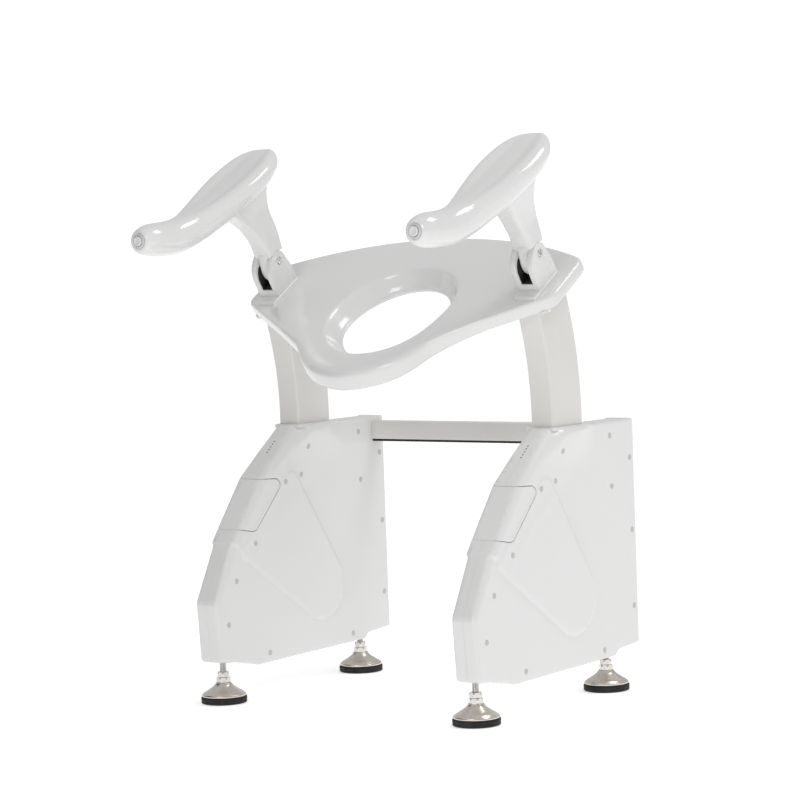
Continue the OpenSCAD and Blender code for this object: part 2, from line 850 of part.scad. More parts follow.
module foot_pad(side, y) {
    color(rubber_black) at_frame(side) translate([foot_x, y, 0]) rotate_extrude($fn = 96) polygon([
        [0, 0], [pad_radius - 1.5, 0], [pad_radius, 1.5], [pad_radius, 11], [pad_radius - 1, 12], [0, 12]
    ]);
}

seat();
crossbar();
crossbar_cable_strip();
seat_bolts();
charge_sockets();
frame(left);  // left_frame
inner_cover(left);  // left_inner_cover
outer_cover(left);  // left_outer_cover
top_cap(left);  // left_top_cap
battery_door(left);  // left_battery_door
battery_pack(left);  // left_battery_pack
indicator_lights(left);  // left_indicator_lights
cover_screws(left);  // left_cover_screws
gearmotor(left);  // left_gearmotor
pinion(left);  // left_pinion
roller(left, front_roller);  // left_front_roller
roller(left, rear_roller);  // left_rear_roller
roller_axles(left);  // left_roller_axles
lift_arm(left);  // left_lift_arm
rack(left);  // left_rack
armrest_bracket(left);  // left_armrest_bracket
hinge_pin(left);  // left_hinge_pin
armrest_post(left);  // left_armrest_post
armrest_pad(left);  // left_armrest_pad
button_bezel(left);  // left_button_bezel
button(left);  // left_button
foot_stem(left, 0);  // left_front_foot_stem
foot_base(left, 0);  // left_front_foot_base
foot_pad(left, 0);  // left_front_foot_pad
foot_stem(left, foot_pitch);  // left_rear_foot_stem
foot_base(left, foot_pitch);  // left_rear_foot_base
foot_pad(left, foot_pitch);  // left_rear_foot_pad
frame(right);  // right_frame
inner_cover(right);  // right_inner_cover
outer_cover(right);  // right_outer_cover
top_cap(right);  // right_top_cap
battery_door(right);  // right_battery_door
battery_pack(right);  // right_battery_pack
indicator_lights(right);  // right_indicator_lights
cover_screws(right);  // right_cover_screws
gearmotor(right);  // right_gearmotor
pinion(right);  // right_pinion
roller(right, front_roller);  // right_front_roller
roller(right, rear_roller);  // right_rear_roller
roller_axles(right);  // right_roller_axles
lift_arm(right);  // right_lift_arm
rack(right);  // right_rack
armrest_bracket(right);  // right_armrest_bracket
hinge_pin(right);  // right_hinge_pin
armrest_post(right);  // right_armrest_post
armrest_pad(right);  // right_armrest_pad
button_bezel(right);  // right_button_bezel
button(right);  // right_button
foot_stem(right, 0);  // right_front_foot_stem
foot_base(right, 0);  // right_front_foot_base
foot_pad(right, 0);  // right_front_foot_pad
foot_stem(right, foot_pitch);  // right_rear_foot_stem
foot_base(right, foot_pitch);  // right_rear_foot_base
foot_pad(right, foot_pitch);  // right_rear_foot_pad
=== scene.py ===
"""Looks of the powered toilet lift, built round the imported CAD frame."""

import json
import math

import bmesh
import bpy
import numpy as np
from mathutils import Matrix, Vector, geometry


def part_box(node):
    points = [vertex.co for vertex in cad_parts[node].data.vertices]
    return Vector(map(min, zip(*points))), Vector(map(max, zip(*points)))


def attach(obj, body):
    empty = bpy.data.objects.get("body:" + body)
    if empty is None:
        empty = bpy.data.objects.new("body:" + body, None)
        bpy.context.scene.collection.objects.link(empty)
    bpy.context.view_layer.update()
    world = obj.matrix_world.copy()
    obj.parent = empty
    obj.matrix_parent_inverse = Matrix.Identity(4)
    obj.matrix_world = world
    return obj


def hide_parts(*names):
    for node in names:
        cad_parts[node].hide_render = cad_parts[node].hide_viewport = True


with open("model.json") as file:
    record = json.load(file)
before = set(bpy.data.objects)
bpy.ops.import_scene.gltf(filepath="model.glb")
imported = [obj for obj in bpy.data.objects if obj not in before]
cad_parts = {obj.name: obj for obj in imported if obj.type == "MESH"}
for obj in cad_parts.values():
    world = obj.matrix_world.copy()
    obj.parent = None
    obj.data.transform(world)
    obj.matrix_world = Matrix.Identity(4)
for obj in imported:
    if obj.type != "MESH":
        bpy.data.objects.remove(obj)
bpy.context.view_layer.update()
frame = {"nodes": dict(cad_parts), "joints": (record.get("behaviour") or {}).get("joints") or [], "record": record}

MM = 0.001
JOINTS = {j["name"]: j for j in frame["joints"]}
LIFT_Y, LIFT_Z = -335.0, 495.0
# Depths below are behind the front feet; this moves them to the frame's origin
SHIFT = JOINTS["seat lift"]["pos_m"][1] * 1000 - LIFT_Y
SIDES = (("left", -1), ("right", 1))
COLUMN_X = 280.0
TILT = math.radians(32)
SEAT_Y, SEAT_Z = 189.0, 689.0
PIN_V, PIN_W = 46.7, 80.0
BRACKET_X, HANDLE_X = 286.0, 297.5
TIP_Y, TIP_Z = -154.0, 826.0

# ---------------------------------------------------------------- materials


class Nodes:
    """A small helper for building one material's node tree."""

    def __init__(self, name):
        self.mat = bpy.data.materials.new(name)
        self.mat.use_nodes = True
        self.tree = self.mat.node_tree
        self.bsdf = self.tree.nodes["Principled BSDF"]
        self.coord = self.add("ShaderNodeTexCoord").outputs["Object"]

    def add(self, kind, **values):
        n = self.tree.nodes.new(kind)
        for k, v in values.items():
            if hasattr(n, k):
                setattr(n, k, v)
            else:
                n.inputs[k.replace("_", " ")].default_value = v
        return n

    def link(self, a, b):
        self.tree.links.new(a, b)

    def noise(self, scale, detail=3.0, rough=0.5, stretch=(1, 1, 1)):
        m = self.add("ShaderNodeMapping")
        m.inputs["Scale"].default_value = stretch
        self.link(self.coord, m.inputs["Vector"])
        n = self.add("ShaderNodeTexNoise", Scale=scale, Detail=detail, Roughness=rough)
        self.link(m.outputs["Vector"], n.inputs["Vector"])
        return n.outputs["Fac"]

    def ramp(self, fac, stops):
        r = self.add("ShaderNodeValToRGB")
        e = r.color_ramp.elements
        while len(e) < len(stops):
            e.new(0.5)
        for k, (at, col) in enumerate(stops):
            e[k].position = at
            e[k].color = (*col, 1)
        self.link(fac, r.inputs["Fac"])
        return r.outputs["Color"]

    def scalar(self, fac, low, high, a=0.3, b=0.7):
        r = self.add("ShaderNodeMapRange", clamp=True)
        for k, v in (("From Min", a), ("From Max", b), ("To Min", low), ("To Max", high)):
            r.inputs[k].default_value = v
        self.link(fac, r.inputs["Value"])
        return r.outputs["Result"]

    def mix(self, fac, a, b):
        m = self.add("ShaderNodeMix", data_type="RGBA")
        self.link(fac, m.inputs[0])
        for k, v in ((6, a), (7, b)):
            if isinstance(v, tuple):
                m.inputs[k].default_value = (*v, 1)
            else:
                self.link(v, m.inputs[k])
        return m.outputs[2]

    def bump(self, height, strength, distance):
        b = self.add("ShaderNodeBump", Strength=strength, Distance=distance)
        self.link(height, b.inputs["Height"])
        return b.outputs["Normal"]

    def edges(self, low=0.53, high=0.62):
        """1 on the worn outer edges, from the surface's own curvature."""
        g = self.add("ShaderNodeNewGeometry")
        return self.scalar(g.outputs["Pointiness"], 0.0, 1.0, low, high)

    def done(self, colour, rough, normal=None, **constants):
        self.link(colour, self.bsdf.inputs["Base Color"])
        self.link(rough, self.bsdf.inputs["Roughness"])
        if normal is not None:
            self.link(normal, self.bsdf.inputs["Normal"])
        for k, v in constants.items():
            self.bsdf.inputs[k.replace("_", " ")].default_value = v
        return self.mat


def shade(c, k):
    return tuple(v * k for v in c)


FINE_GRAIN = (60.0, 4.0, 0.2)
BROAD_GRAIN = (7.0, 1.0, 0.08)


def plastic(name, base, rough=0.2, coat=0.3, dust=0.012, orange=0.06, wear=0.04, grain=FINE_GRAIN):
    """Moulded or enamelled plastic: slow tint drift, faint dust, orange peel and polished edges.

    The grain is the scale, detail and strength of the drift in roughness.
    """
    n = Nodes(name)
    drift = n.noise(5.0, 2.0)
    body = n.ramp(drift, [(0.3, shade(base, 0.985)), (0.7, base)])
    if dust:
        body = n.mix(n.scalar(n.noise(900.0, 2.0), 0.0, dust, 0.60, 0.80), body, shade(base, 0.72))
    if wear:
        body = n.mix(n.scalar(n.edges(), 0.0, wear), body, shade(base, 0.86))
    scale, detail, swing = grain
    r = n.scalar(n.noise(scale, detail), rough * (1 - swing), rough * (1 + swing))
    peel = n.bump(n.noise(420.0, 2.0, 0.4), orange, 0.00008)
    return n.done(body, r, peel, Coat_Weight=coat, Coat_Roughness=0.05, IOR=1.49)


def painted(name, base, rough=0.34):
    """Powder-coated steel: fine orange peel, a little grime and thinner paint on the edges."""
    n = Nodes(name)
    body = n.ramp(n.noise(7.0, 3.0), [(0.3, shade(base, 0.96)), (0.7, base)])
    grime = n.scalar(n.noise(38.0, 5.0, 0.65), 0.0, 0.10, 0.55, 0.8)
    body = n.mix(grime, body, shade(base, 0.78))
    body = n.mix(n.scalar(n.edges(0.52, 0.6), 0.0, 0.25), body, shade(base, 0.80))
    r = n.scalar(n.noise(90.0, 3.0), rough * 0.85, rough * 1.25)
    peel = n.bump(n.noise(620.0, 3.0, 0.55), 0.22, 0.00012)
    return n.done(body, r, peel, Coat_Weight=0.08, Coat_Roughness=0.2, IOR=1.5)


def steel(name, base, rough=0.16, turned=False):
    """Plain metal with turning or brushing marks, a brownish film and brighter edges."""
    n = Nodes(name)
    film = n.scalar(n.noise(34.0, 4.0, 0.6), 0.0, 0.35, 0.45, 0.85)
    body = n.mix(film, base, (0.40, 0.30, 0.22))
    body = n.mix(n.scalar(n.edges(0.51, 0.58), 0.0, 0.6), body, shade(base, 1.12))
    if turned:
        w = n.add("ShaderNodeTexWave", wave_type="RINGS", rings_direction="Z",
                  Scale=420.0, Distortion=1.2, Detail=2.0)
        n.link(n.coord, w.inputs["Vector"])
        marks = w.outputs["Fac"]
    else:
        marks = n.noise(900.0, 3.0, 0.6, (1, 1, 0.06))
    r = n.scalar(marks, rough * 0.7, rough * 1.6, 0.2, 0.8)
    return n.done(body, r, n.bump(marks, 0.12, 0.0003), Metallic=1.0, Anisotropic=0.35)


def rubber(name):
    n = Nodes(name)
    body = n.ramp(n.noise(40.0, 4.0), [(0.3, (0.010, 0.010, 0.010)), (0.75, (0.022, 0.021, 0.020))])
    body = n.mix(n.scalar(n.noise(300.0, 4.0), 0.0, 0.35, 0.62, 0.85), body, (0.10, 0.095, 0.09))
    r = n.scalar(n.noise(120.0, 3.0), 0.55, 0.8)
    return n.done(body, r, n.bump(n.noise(1600.0, 3.0), 0.35, 0.0005), Specular_IOR_Level=0.35)


WHITE = (0.76, 0.76, 0.755)
M = {
    "cover_gloss": plastic("cover gloss", WHITE, 0.25, 0.25, dust=0, wear=0, orange=0.02, grain=BROAD_GRAIN),
    "seat_gloss": plastic("seat gloss", (0.74, 0.74, 0.735), 0.15, 0.5, orange=0.05),
    "armrest_gloss": plastic("armrest gloss", WHITE, 0.13, 0.5, orange=0.02, grain=BROAD_GRAIN),
    "bracket_paint": painted("bracket paint", (0.77, 0.77, 0.76), 0.24),
    "painted_arm": painted("arm paint", (0.725, 0.71, 0.687), 0.36),
    "screw_cap_grey": plastic("screw cap", (0.52, 0.53, 0.50), 0.42, 0.0, dust=0.12),
    "indicator_lens": plastic("indicator lens", (0.10, 0.13, 0.10), 0.2, 0.4),
    "battery_case": plastic("battery case", (0.10, 0.11, 0.13), 0.5, 0.0, dust=0.2, orange=0.4),
    "bezel_grey": plastic("bezel grey", (0.60, 0.60, 0.60), 0.24, 0.3),
    "button_plastic": plastic("button plastic", (0.74, 0.74, 0.735), 0.3, 0.2),
    "roller_plastic": plastic("roller plastic", (0.62, 0.62, 0.58), 0.45, 0.0, dust=0.15),
    "frame_steel": painted("frame paint", (0.13, 0.135, 0.145), 0.4),
    "gearmotor_metal": steel("gear motor metal", (0.55, 0.56, 0.57), 0.4),
    "machined_steel": steel("machined steel", (0.55, 0.55, 0.56), 0.28),
    "polished_steel": steel("polished steel", (0.66, 0.64, 0.61), 0.13),
    "turned_steel": steel("turned steel", (0.62, 0.58, 0.53), 0.14, turned=True),
    "rubber": rubber("foot rubber"),
}

# ---------------------------------------------------------------- mesh helpers


def piece(name, verts, faces, body, slot, replaces=(), side=1, mat=None):
    """One mesh piece, given in millimetres behind the front feet, mirrored for the left side."""
    if side < 0:
        verts = [(-x, y, z) for x, y, z in verts]
        faces = [tuple(reversed(f)) for f in faces]
    me = bpy.data.meshes.new(name)
    me.from_pydata([(x * MM, (y + SHIFT) * MM, z * MM) for x, y, z in verts], [], faces)
    me.validate()
    ob = bpy.data.objects.new(name, me)
    bpy.context.scene.collection.objects.link(ob)
    for p in me.polygons:
        p.use_smooth = True
    me.materials.append(mat or M[slot])
    if body:
        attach(ob, body)
        if replaces:
            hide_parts(*([replaces] if isinstance(replaces, str) else replaces))
    return ob


def bevel(ob, width):
    m = ob.modifiers.new("bevel", "BEVEL")
    m.width, m.segments, m.limit_method = width * MM, 3, "ANGLE"
    m.angle_limit = math.radians(40)
    m.harden_normals = False


def sharp(ob, angle=40):
    """Smooth shading that keeps edges sharper than the angle crisp."""
    me = ob.data
    bm = bmesh.new()
    bm.from_mesh(me)
    for e in bm.edges:
        e.smooth = not (len(e.link_faces) == 2 and e.calc_face_angle(0) > math.radians(angle))
    bm.to_mesh(me)
    bm.free()
    return ob


def subdivide(ob):
    m = ob.modifiers.new("subdivision", "SUBSURF")
    m.levels = m.render_levels = 1


def seat_point(u, v, w):
    c, s = math.cos(TILT), math.sin(TILT)
    return (u, SEAT_Y + v * c - w * s, SEAT_Z + v * s + w * c)


def smoothstep(a, b, x):
    t = np.clip((np.asarray(x, float) - a) / (b - a), 0, 1)
    return t * t * (3 - 2 * t)


def turns(n):
    """Cosine and sine of n equal steps round a circle."""
    return [(math.cos(2 * math.pi * k / n), math.sin(2 * math.pi * k / n)) for k in range(n)]


def skin(rings):
    """Verts and quads through a list of equally long point rings, open at both ends."""
    n = len(rings[0])
    faces = []
    for i in range(len(rings) - 1):
        for k in range(n):
            kn = (k + 1) % n
            faces.append((i * n + k, i * n + kn, (i + 1) * n + kn, (i + 1) * n + k))
    return [tuple(p) for r in rings for p in r], faces


def loft(rings):
    """Skins the rings and closes both ends with a fan."""
    n = len(rings[0])
    verts, faces = skin(rings)
    last = (len(rings) - 1) * n
    for at in (0, last):
        mid = tuple(sum(c) / n for c in zip(*verts[at:at + n]))
        verts.append(mid)
        for k in range(n):
            a, b = at + k, at + (k + 1) % n
            faces.append((a, len(verts) - 1, b) if at == 0 else (a, b, len(verts) - 1))
    return verts, faces


def loft_loop(rings):
    """Skins rings that come round to the first one again."""
    count = len(rings) * len(rings[0])
    verts, faces = skin(rings + rings[:1])
    return verts[:count], [tuple(v % count for v in f) for f in faces]


def lathe(profile, x, y, sides=96):
    """Turns (radius, height) pairs about an upright axis at x, y."""
    return loft([[(x + r * c, y + r * s, z) for c, s in turns(sides)] for r, z in profile])


def prism(outline, x0, x1):
    """Extrudes a side-view (y, z) outline between two planes across the object."""
    n = len(outline)
    verts = [(x0, y, z) for y, z in outline] + [(x1, y, z) for y, z in outline]
    faces = [tuple(range(n)), tuple(range(2 * n - 1, n - 1, -1))]
    faces += [(k, k + n, (k + 1) % n + n, (k + 1) % n) for k in range(n)]
    return verts, faces


def arc(cy, cz, r, a0, a1, n):
    return [(cy + r * math.cos(math.radians(a0 + (a1 - a0) * k / n)),
             cz + r * math.sin(math.radians(a0 + (a1 - a0) * k / n))) for k in range(n + 1)]


def rounded_box(u0, u1, v0, v1, r, steps=6):
    """Outline of a box with rounded corners, anticlockwise from its u1 side."""
    ring = []
    corners = ((u1 - r, v1 - r), (u0 + r, v1 - r), (u0 + r, v0 + r), (u1 - r, v0 + r))
    for k, (u, v) in enumerate(corners):
        ring += arc(u, v, r, 90 * k, 90 * k + 90, steps)
    return ring


def spline(table, at):
    """Smooth curve through a table's rows, read at a fractional row number."""
    last = len(table) - 1
    i = min(int(at), last - 1)
    t = at - i
    a, b, c, d = (table[min(max(k, 0), last)] for k in (i - 1, i, i + 1, i + 2))
    return 0.5 * (2 * b + (c - a) * t + (2 * a - 5 * b + 4 * c - d) * t * t
                  + (3 * b - a - 3 * c + d) * t ** 3)


def merge(parts):
    verts, faces = [], []
    for v, f in parts:
        base = len(verts)
        verts += v
        faces += [tuple(k + base for k in q) for q in f]
    return verts, faces


def fix_normals(ob):
    bm = bmesh.new()
    bm.from_mesh(ob.data)
    bmesh.ops.recalc_face_normals(bm, faces=bm.faces)
    bm.to_mesh(ob.data)
    bm.free()
    return ob


def carve(ob, parts):
    """Cuts plain (verts, faces) solids away and bakes the result into the piece's mesh."""
    side = -1 if ob.data.vertices[0].co.x < 0 else 1
    tools = []
    for verts, faces in parts:
        t = fix_normals(piece("tool", verts, faces, None, "rubber", side=side, mat=M["rubber"]))
        m = ob.modifiers.new("cut", "BOOLEAN")
        m.operation, m.solver, m.object = "DIFFERENCE", "EXACT", t
        tools.append(t)
    dg = bpy.context.evaluated_depsgraph_get()
    me = bpy.data.meshes.new_from_object(ob.evaluated_get(dg))
    ob.modifiers.clear()
    old = ob.data
    ob.data = me
    bpy.data.meshes.remove(old)
    for t in tools:
        bpy.data.objects.remove(t)
    while len(me.materials) > 1:
        me.materials.pop()
    for p in me.polygons:
        p.material_index = 0


# ---------------------------------------------------------------- seat


def soft_min(a, b, k):
    m = np.minimum(a, b)
    return m - k * np.log(np.exp(-(a - m) / k) + np.exp(-(b - m) / k))


def soft_max(a, b, k):
    return -soft_min(-a, -b, k)


# Opening of the seat: middle, half width and half length
OPEN_V, OPEN_A, OPEN_B = -17.0, 122.0, 123.0
REAR_R, REAR_V, WING_U = 738.0, 199.0, 336.0


def to_edge(f, facing, reach):
    c = np.cos(f - math.radians(facing))
    return np.where(c > 0.05, reach / np.maximum(c, 0.05), 2000.0)


def to_circle(f, mid, r):
    d = mid * np.sin(f)
    return d + np.sqrt(r * r - mid * mid + d * d)


def to_ellipse(f, mid, a, b):
    qa = (np.cos(f) / a) ** 2 + (np.sin(f) / b) ** 2
    qb = -2 * mid * np.sin(f) / (b * b)
    qc = mid * mid / (b * b) - 1
    return (-qb + np.sqrt(qb * qb - 4 * qa * qc)) / (2 * qa)


def seat_reach(f):
    """Distance from the opening's middle to the wings' outline and to the front ring's."""
    rear = to_circle(f, REAR_V - REAR_R - OPEN_V, REAR_R)
    sides = np.minimum(to_edge(f, 0, WING_U), to_edge(f, 180, WING_U))
    fronts = soft_min(to_edge(f, -57, 167.6), to_edge(f, 237, 167.6), 16)
    wings = soft_min(soft_min(rear, sides, 7), fronts, 7)
    return wings, to_ellipse(f, -58 - OPEN_V, 155, 149)


def build_seat():
    n = 288
    f = np.linspace(0, 2 * math.pi, n, endpoint=False)
    wings, ring = seat_reach(f)
    o = soft_max(wings, ring, 4)
    i = to_ellipse(f, 0, OPEN_A, OPEN_B)
    g = smoothstep(0, 1, -np.sin(f) * 1.15 - 0.15)
    under = -2 - 26 * g
    top = 22 - 12 * g
    crest = 16 - 8 * g
    low = -24 - 4 * g
    edge = 6 + 7 * g
    span = o - i
    prof = []
    # Underside, inner lip first, then out to the skirt
    prof += [(i - 17, low + 2), (i - 13, low), (i - 6, low), (i + 0.1 * span, low * 0.85 + under * 0.15)]
    prof += [(i + 0.35 * span, 0.45 * low + 0.55 * under), (i + 0.7 * span, under), (o - 6, under)]
    # Outer edge with its rounding
    prof += [(o - 2.2, under + 0.6), (o - 0.6, under + 2.6), (o, under + 6)]
    for t in (0.35, 0.7):
        prof.append((o, (under + 6) * (1 - t) + (top - edge) * t))
    for a in (0, 20, 40, 60, 75, 90):
        a = math.radians(a)
        prof.append((o - edge * 1.25 * (1 - math.cos(a)), top - edge + edge * math.sin(a)))
    # Flat top, falling gently to the crest of the opening
    for t in (0.22, 0.42, 0.62, 0.8):
        d = (o - edge * 1.25) * (1 - t) + (i + 13) * t
        prof.append((d, top - (top - crest) * t ** 1.6))
    prof += [(i + 8, crest - 0.2), (i + 4.5, crest - 1.0), (i + 1.8, crest - 2.9), (i, crest - 5.6)]
    prof += [(i - 4, crest - 12), (i - 9, crest - 20), (i - 14, crest - 27.5)]
    prof += [(i - 18, 0.3 * (crest - 27.5) + 0.7 * (low + 9)), (i - 20.5, low + 8), (i - 20.5, low + 5)]
    rings = [[seat_point(d * math.cos(a), OPEN_V + d * math.sin(a), h) for d, h, a in zip(reach, height, f)]
             for reach, height in prof]
    ob = fix_normals(piece("seat_shell", *loft_loop(rings), "lift", "seat_gloss", "seat"))
    subdivide(ob)


def build_plinth(name, side):
    """The raised pad of the seat under a bracket, with a small fillet at its foot."""
    middle = 37.0
    steps = ((2.6, 15), (2.6, 20.5), (1.7, 21.9), (0.7, 22.9), (0.2, 25.2), (-0.6, 26.6), (-2.4, 27.3),
             (-6, 27.5))
    rings = []
    for grow, w in steps:
        rings.append([])
        for u, v in rounded_box(-24.5, 24.5, -10, 77, 5):
            d = Vector((u, v - middle))
            k = (d.length + grow) / d.length
            rings[-1].append(seat_point(BRACKET_X + d.x * k, middle + d.y * k, w))
    fix_normals(piece(f"{name}_seat_plinth", *loft(rings), "lift", "seat_gloss", side=side))


# ---------------------------------------------------------------- armrests

# Depth, height, half width, thickness over and under the line, dish of the top
PAD_STATIONS = np.array([
    [TIP_Y, TIP_Z, 15.5, 15.5, 15.5, 0], [-151.5, TIP_Z, 20, 20, 20, 0], [-143, TIP_Z, 24.5, 24.5, 24.5, 0],
    [-125, 827, 28.5, 28.5, 28.5, 0], [-96, 828, 30, 30, 30, 0], [-62, 833, 31, 29.5, 32, 0],
    [-24, 847, 34, 27, 34, 1], [12, 867, 43, 24, 36, 4.5], [48, 888, 52, 22.5, 37, 8],
    [84, 910, 58, 21.5, 37, 10], [114, 928, 60, 21, 36, 10.5], [140, 944, 58, 20, 34, 10],
    [162, 958, 52, 18.5, 30, 8],
    [180, 969, 42, 16, 24, 6], [192, 976, 30, 12.5, 17, 3.5], [199, 980, 18, 8, 11, 1.5],
    [203, 982, 5, 3, 4, 0]], float)


def pad_station(s):
    return spline(PAD_STATIONS, s * (len(PAD_STATIONS) - 1))


def pad_frame(s):
    p = pad_station(s)
    q = pad_station(min(s + 0.015, 1)) - pad_station(max(s - 0.015, 0))
    long = math.hypot(q[0], q[1])
    k = float(smoothstep(0.05, 0.2, s))
    up = np.array([-q[1] / long * k, q[0] / long * k + 1 - k])
    return p, up / np.linalg.norm(up)


def pad_ring(s, sides=88, scale=1.0, push=0.0):
    p, up = pad_frame(s)
    flat = float(smoothstep(0.2, 0.45, s))
    ring = []
    for k in range(sides):
        f = 2 * math.pi * k / sides
        c, sn = math.cos(f), math.sin(f)
        over = k < sides / 2
        power = 2 + 0.3 * flat
        out = p[2] * math.copysign(abs(c) ** (2 / power), c)
        lift = (p[3] if over else p[4]) * math.copysign(abs(sn) ** (2 / power), sn)
        if over:
            # A shallow dish whose crest runs a little inside the rounded side
            lift -= p[5] * float(1 - smoothstep(0.30, 0.80, abs(out) / p[2])) * (1 if p[2] > 1 else 0)
        ring.append((HANDLE_X + out * scale, p[0] + lift * scale * up[0] + push, p[1] + lift * scale * up[1]))
    return ring


# Post and tongue, in a leaning frame: height over the pin, front, rear, half width, corner radius
POST = np.array([
    [1, -15, 14, 22.2, 6], [8, -15.6, 17, 22.5, 8], [15, -16.8, 21, 22.7, 9], [22, -18.6, 23.2, 22.6, 10],
    [30, -20.6, 24.6, 22, 11], [40, -23, 25.4, 21.4, 11], [55, -29, 25.2, 20.8, 11], [71, -37, 24, 20.8, 11],
    [86, -47, 23, 21.4, 12], [98, -58, 23.5, 22.8, 13], [110, -71, 25, 25.5, 15], [122, -86, 27, 28.5, 16],
    [136, -103, 30, 32, 17], [150, -116, 34, 34, 17]], float)
TONGUE = [(-37.5, -2, 8, 4, 2.4), (-36, -8, 10, 7, 4.6), (-32, -14, 12.5, 9.5, 6), (-24, -19, 14, 11.2, 7),
          (-12, -21, 14.5, 11.6, 7), (4, -19.5, 15.5, 11.6, 7), (15.5, -18, 18, 11.6, 7),
          (22, -18.2, 20, 11.6, 7)]
# Outline of the bracket's ears, in the pin's frame
EAR = [(-36, -53.2), (26, -53.2), (26, -34), (25.6, -30), (22.5, -14), (19.0, -2)]
EAR += arc(0, 0, 19, -2, 118, 18) + [(-17, 12.2), (-25, 6.5), (-31.5, -2), (-35, -12), (-36, -20)]


def post_ring(h, front, rear, w, r):
    lean = math.radians(20)
    along = np.array([-math.sin(lean), math.cos(lean)])
    fore = np.array([math.cos(lean), math.sin(lean)])
    pin = np.array(pin_point(0, 0))
    # Leans out towards the pad's own middle
    out = 8.0 * float(smoothstep(50, 130, h))
    return [(BRACKET_X + x + out, *(pin + along * h + fore * y))
            for x, y in rounded_box(-w, w, front, rear, r, 8)]


def ear_sweep(fold, clear=0.5, steps=120):
    """Room the ears need round the pin while the armrest folds: direction and reach, star-shaped."""
    line = np.array(EAR, float)
    ends = np.roll(line, -1, 0)
    room = []
    for a in np.linspace(-math.pi, math.pi, steps, endpoint=False):
        reach = 0.0
        for turn in np.linspace(0, math.radians(fold), 25):
            d = np.array([math.cos(a - turn), math.sin(a - turn)])
            e = ends - line
            with np.errstate(divide="ignore", invalid="ignore"):
                den = d[0] * e[:, 1] - d[1] * e[:, 0]
                t = (line[:, 0] * e[:, 1] - line[:, 1] * e[:, 0]) / den
                u = (line[:, 0] * d[1] - line[:, 1] * d[0]) / den
            hit = t[(t > 0) & (u >= 0) & (u <= 1)]
            reach = max(reach, hit.max() if len(hit) else 0.0)
        room.append((math.cos(a), math.sin(a), reach + clear))
    return room


def under_pad(point):
    """Keeps a point of the post below the pad's own line."""
    x, y, z = point
    s = min(np.linspace(0.3, 0.98, 137), key=lambda t: abs(pad_station(t)[0] - y))
    p = pad_station(s)
    return (x, y, min(z, p[1] - 0.35 * p[4]))


def build_armrest(name, side):
    body = f"{name} armrest"
    # Handle's front face rolls in to the bezel's seat
    mouth = ((0.86, 1.2), (0.885, 0.2), (0.93, -0.15), (0.975, 0.0))
    rings = [pad_ring(0.0, scale=k, push=d) for k, d in mouth]
    rings += [pad_ring(s) for s in np.linspace(0.004, 0.988, 150)]
    rings += [pad_ring(s, scale=k) for s, k in ((0.993, 0.93), (0.997, 0.72), (0.999, 0.4))]
    fix_normals(piece(f"{name}_pad_shell", *loft(rings), body, "armrest_gloss", f"{name}_armrest_pad", side))
    rows = [spline(POST, t) for t in np.linspace(0, len(POST) - 1, 53)]
    verts, faces = loft([[under_pad(q) for q in post_ring(*row)] for row in rows])
    post = fix_normals(piece(f"{name}_post_shell", verts, faces, body, "armrest_gloss",
                             f"{name}_armrest_post", side))
    # Hollowed round the bracket's ears, through the whole fold
    swept = [(y * (r / math.hypot(y, z)), z * (r / math.hypot(y, z))) for y, z, r in ear_sweep(60)]
    room = [pin_point(y, z) for y, z in swept]
    carve(post, [prism(room, BRACKET_X - 34, BRACKET_X - 11.7),
                 prism(room, BRACKET_X + 11.7, BRACKET_X + 34)])
    sharp(post, 38)
    tongue = piece(f"{name}_post_tongue", *loft([post_ring(*st) for st in TONGUE]), body, "armrest_gloss",
                   side=side)
    subdivide(fix_normals(tongue))


def turned_y(profile, name, body, slot, replaces, side):
    """A piece turned about the handle's axis; profile is (radius, depth from the tip)."""
    rings = [[(HANDLE_X + r * c, TIP_Y + d, TIP_Z + r * s) for c, s in turns(72)] for r, d in profile]
    sharp(fix_normals(piece(name, *loft(rings), body, slot, replaces, side)), 50)


def build_button(name, side):
    turned_y([(8.75, 9.5), (8.75, -0.4), (9.1, -1.4), (9.9, -2.0), (11.0, -2.1), (12.1, -1.7), (12.8, -0.9),
              (13.2, 0.2), (13.3, 9.5)], f"{name}_bezel_ring", f"{name} armrest", "bezel_grey",
             f"{name}_button_bezel", side)
    turned_y([(8.4, 12.5), (8.4, -3.0), (8.25, -3.9), (7.7, -4.6), (6.9, -4.9), (5.8, -4.95), (5.2, -4.6),
              (4.8, -4.05), (4.0, -3.8), (2.6, -3.9), (1.2, -4.0), (0.4, -4.02)],
             f"{name}_button_cap", f"{name} button", "button_plastic", f"{name}_button", side)


# ---------------------------------------------------------------- brackets


def pin_point(t, w):
    """Side-view place of a point of the pin frame, in depth and height."""
    return seat_point(0, PIN_V + t, PIN_W + w)[1:]


def pin_circle(x, r, sides):
    """Ring round the pin, x out from the bracket's middle."""
    return [(BRACKET_X + x, *pin_point(r * math.cos(a), r * math.sin(a)))
            for a in np.linspace(0, 2 * math.pi, sides, endpoint=False)]


def build_pin_head(name, side, way, half):
    """A round head with a hexagon socket, in its counterbored seat."""
    rings = [pin_circle(way * x, r, 48) for r, x in (
        (6.6, half - 1.5), (6.6, half - 0.2), (6.2, half + 0.4), (5.6, half + 0.7), (3.4, half + 0.75))]
    for x in (half + 0.6, half - 1.2):
        ring = []
        for k, (c, s) in enumerate(turns(48)):
            r = 2.6 / math.cos((2 * math.pi * k / 48 % (math.pi / 3)) - math.pi / 6) * 0.95
            ring.append((BRACKET_X + way * x, *pin_point(r * c, r * s)))
        rings.append(ring)
    label = "outer" if way > 0 else "inner"
    head = piece(f"{name}_pin_head_{label}", *loft(rings), "lift", "polished_steel",
                 f"{name}_hinge_pin" if way > 0 else (), side)
    sharp(fix_normals(head), 35)


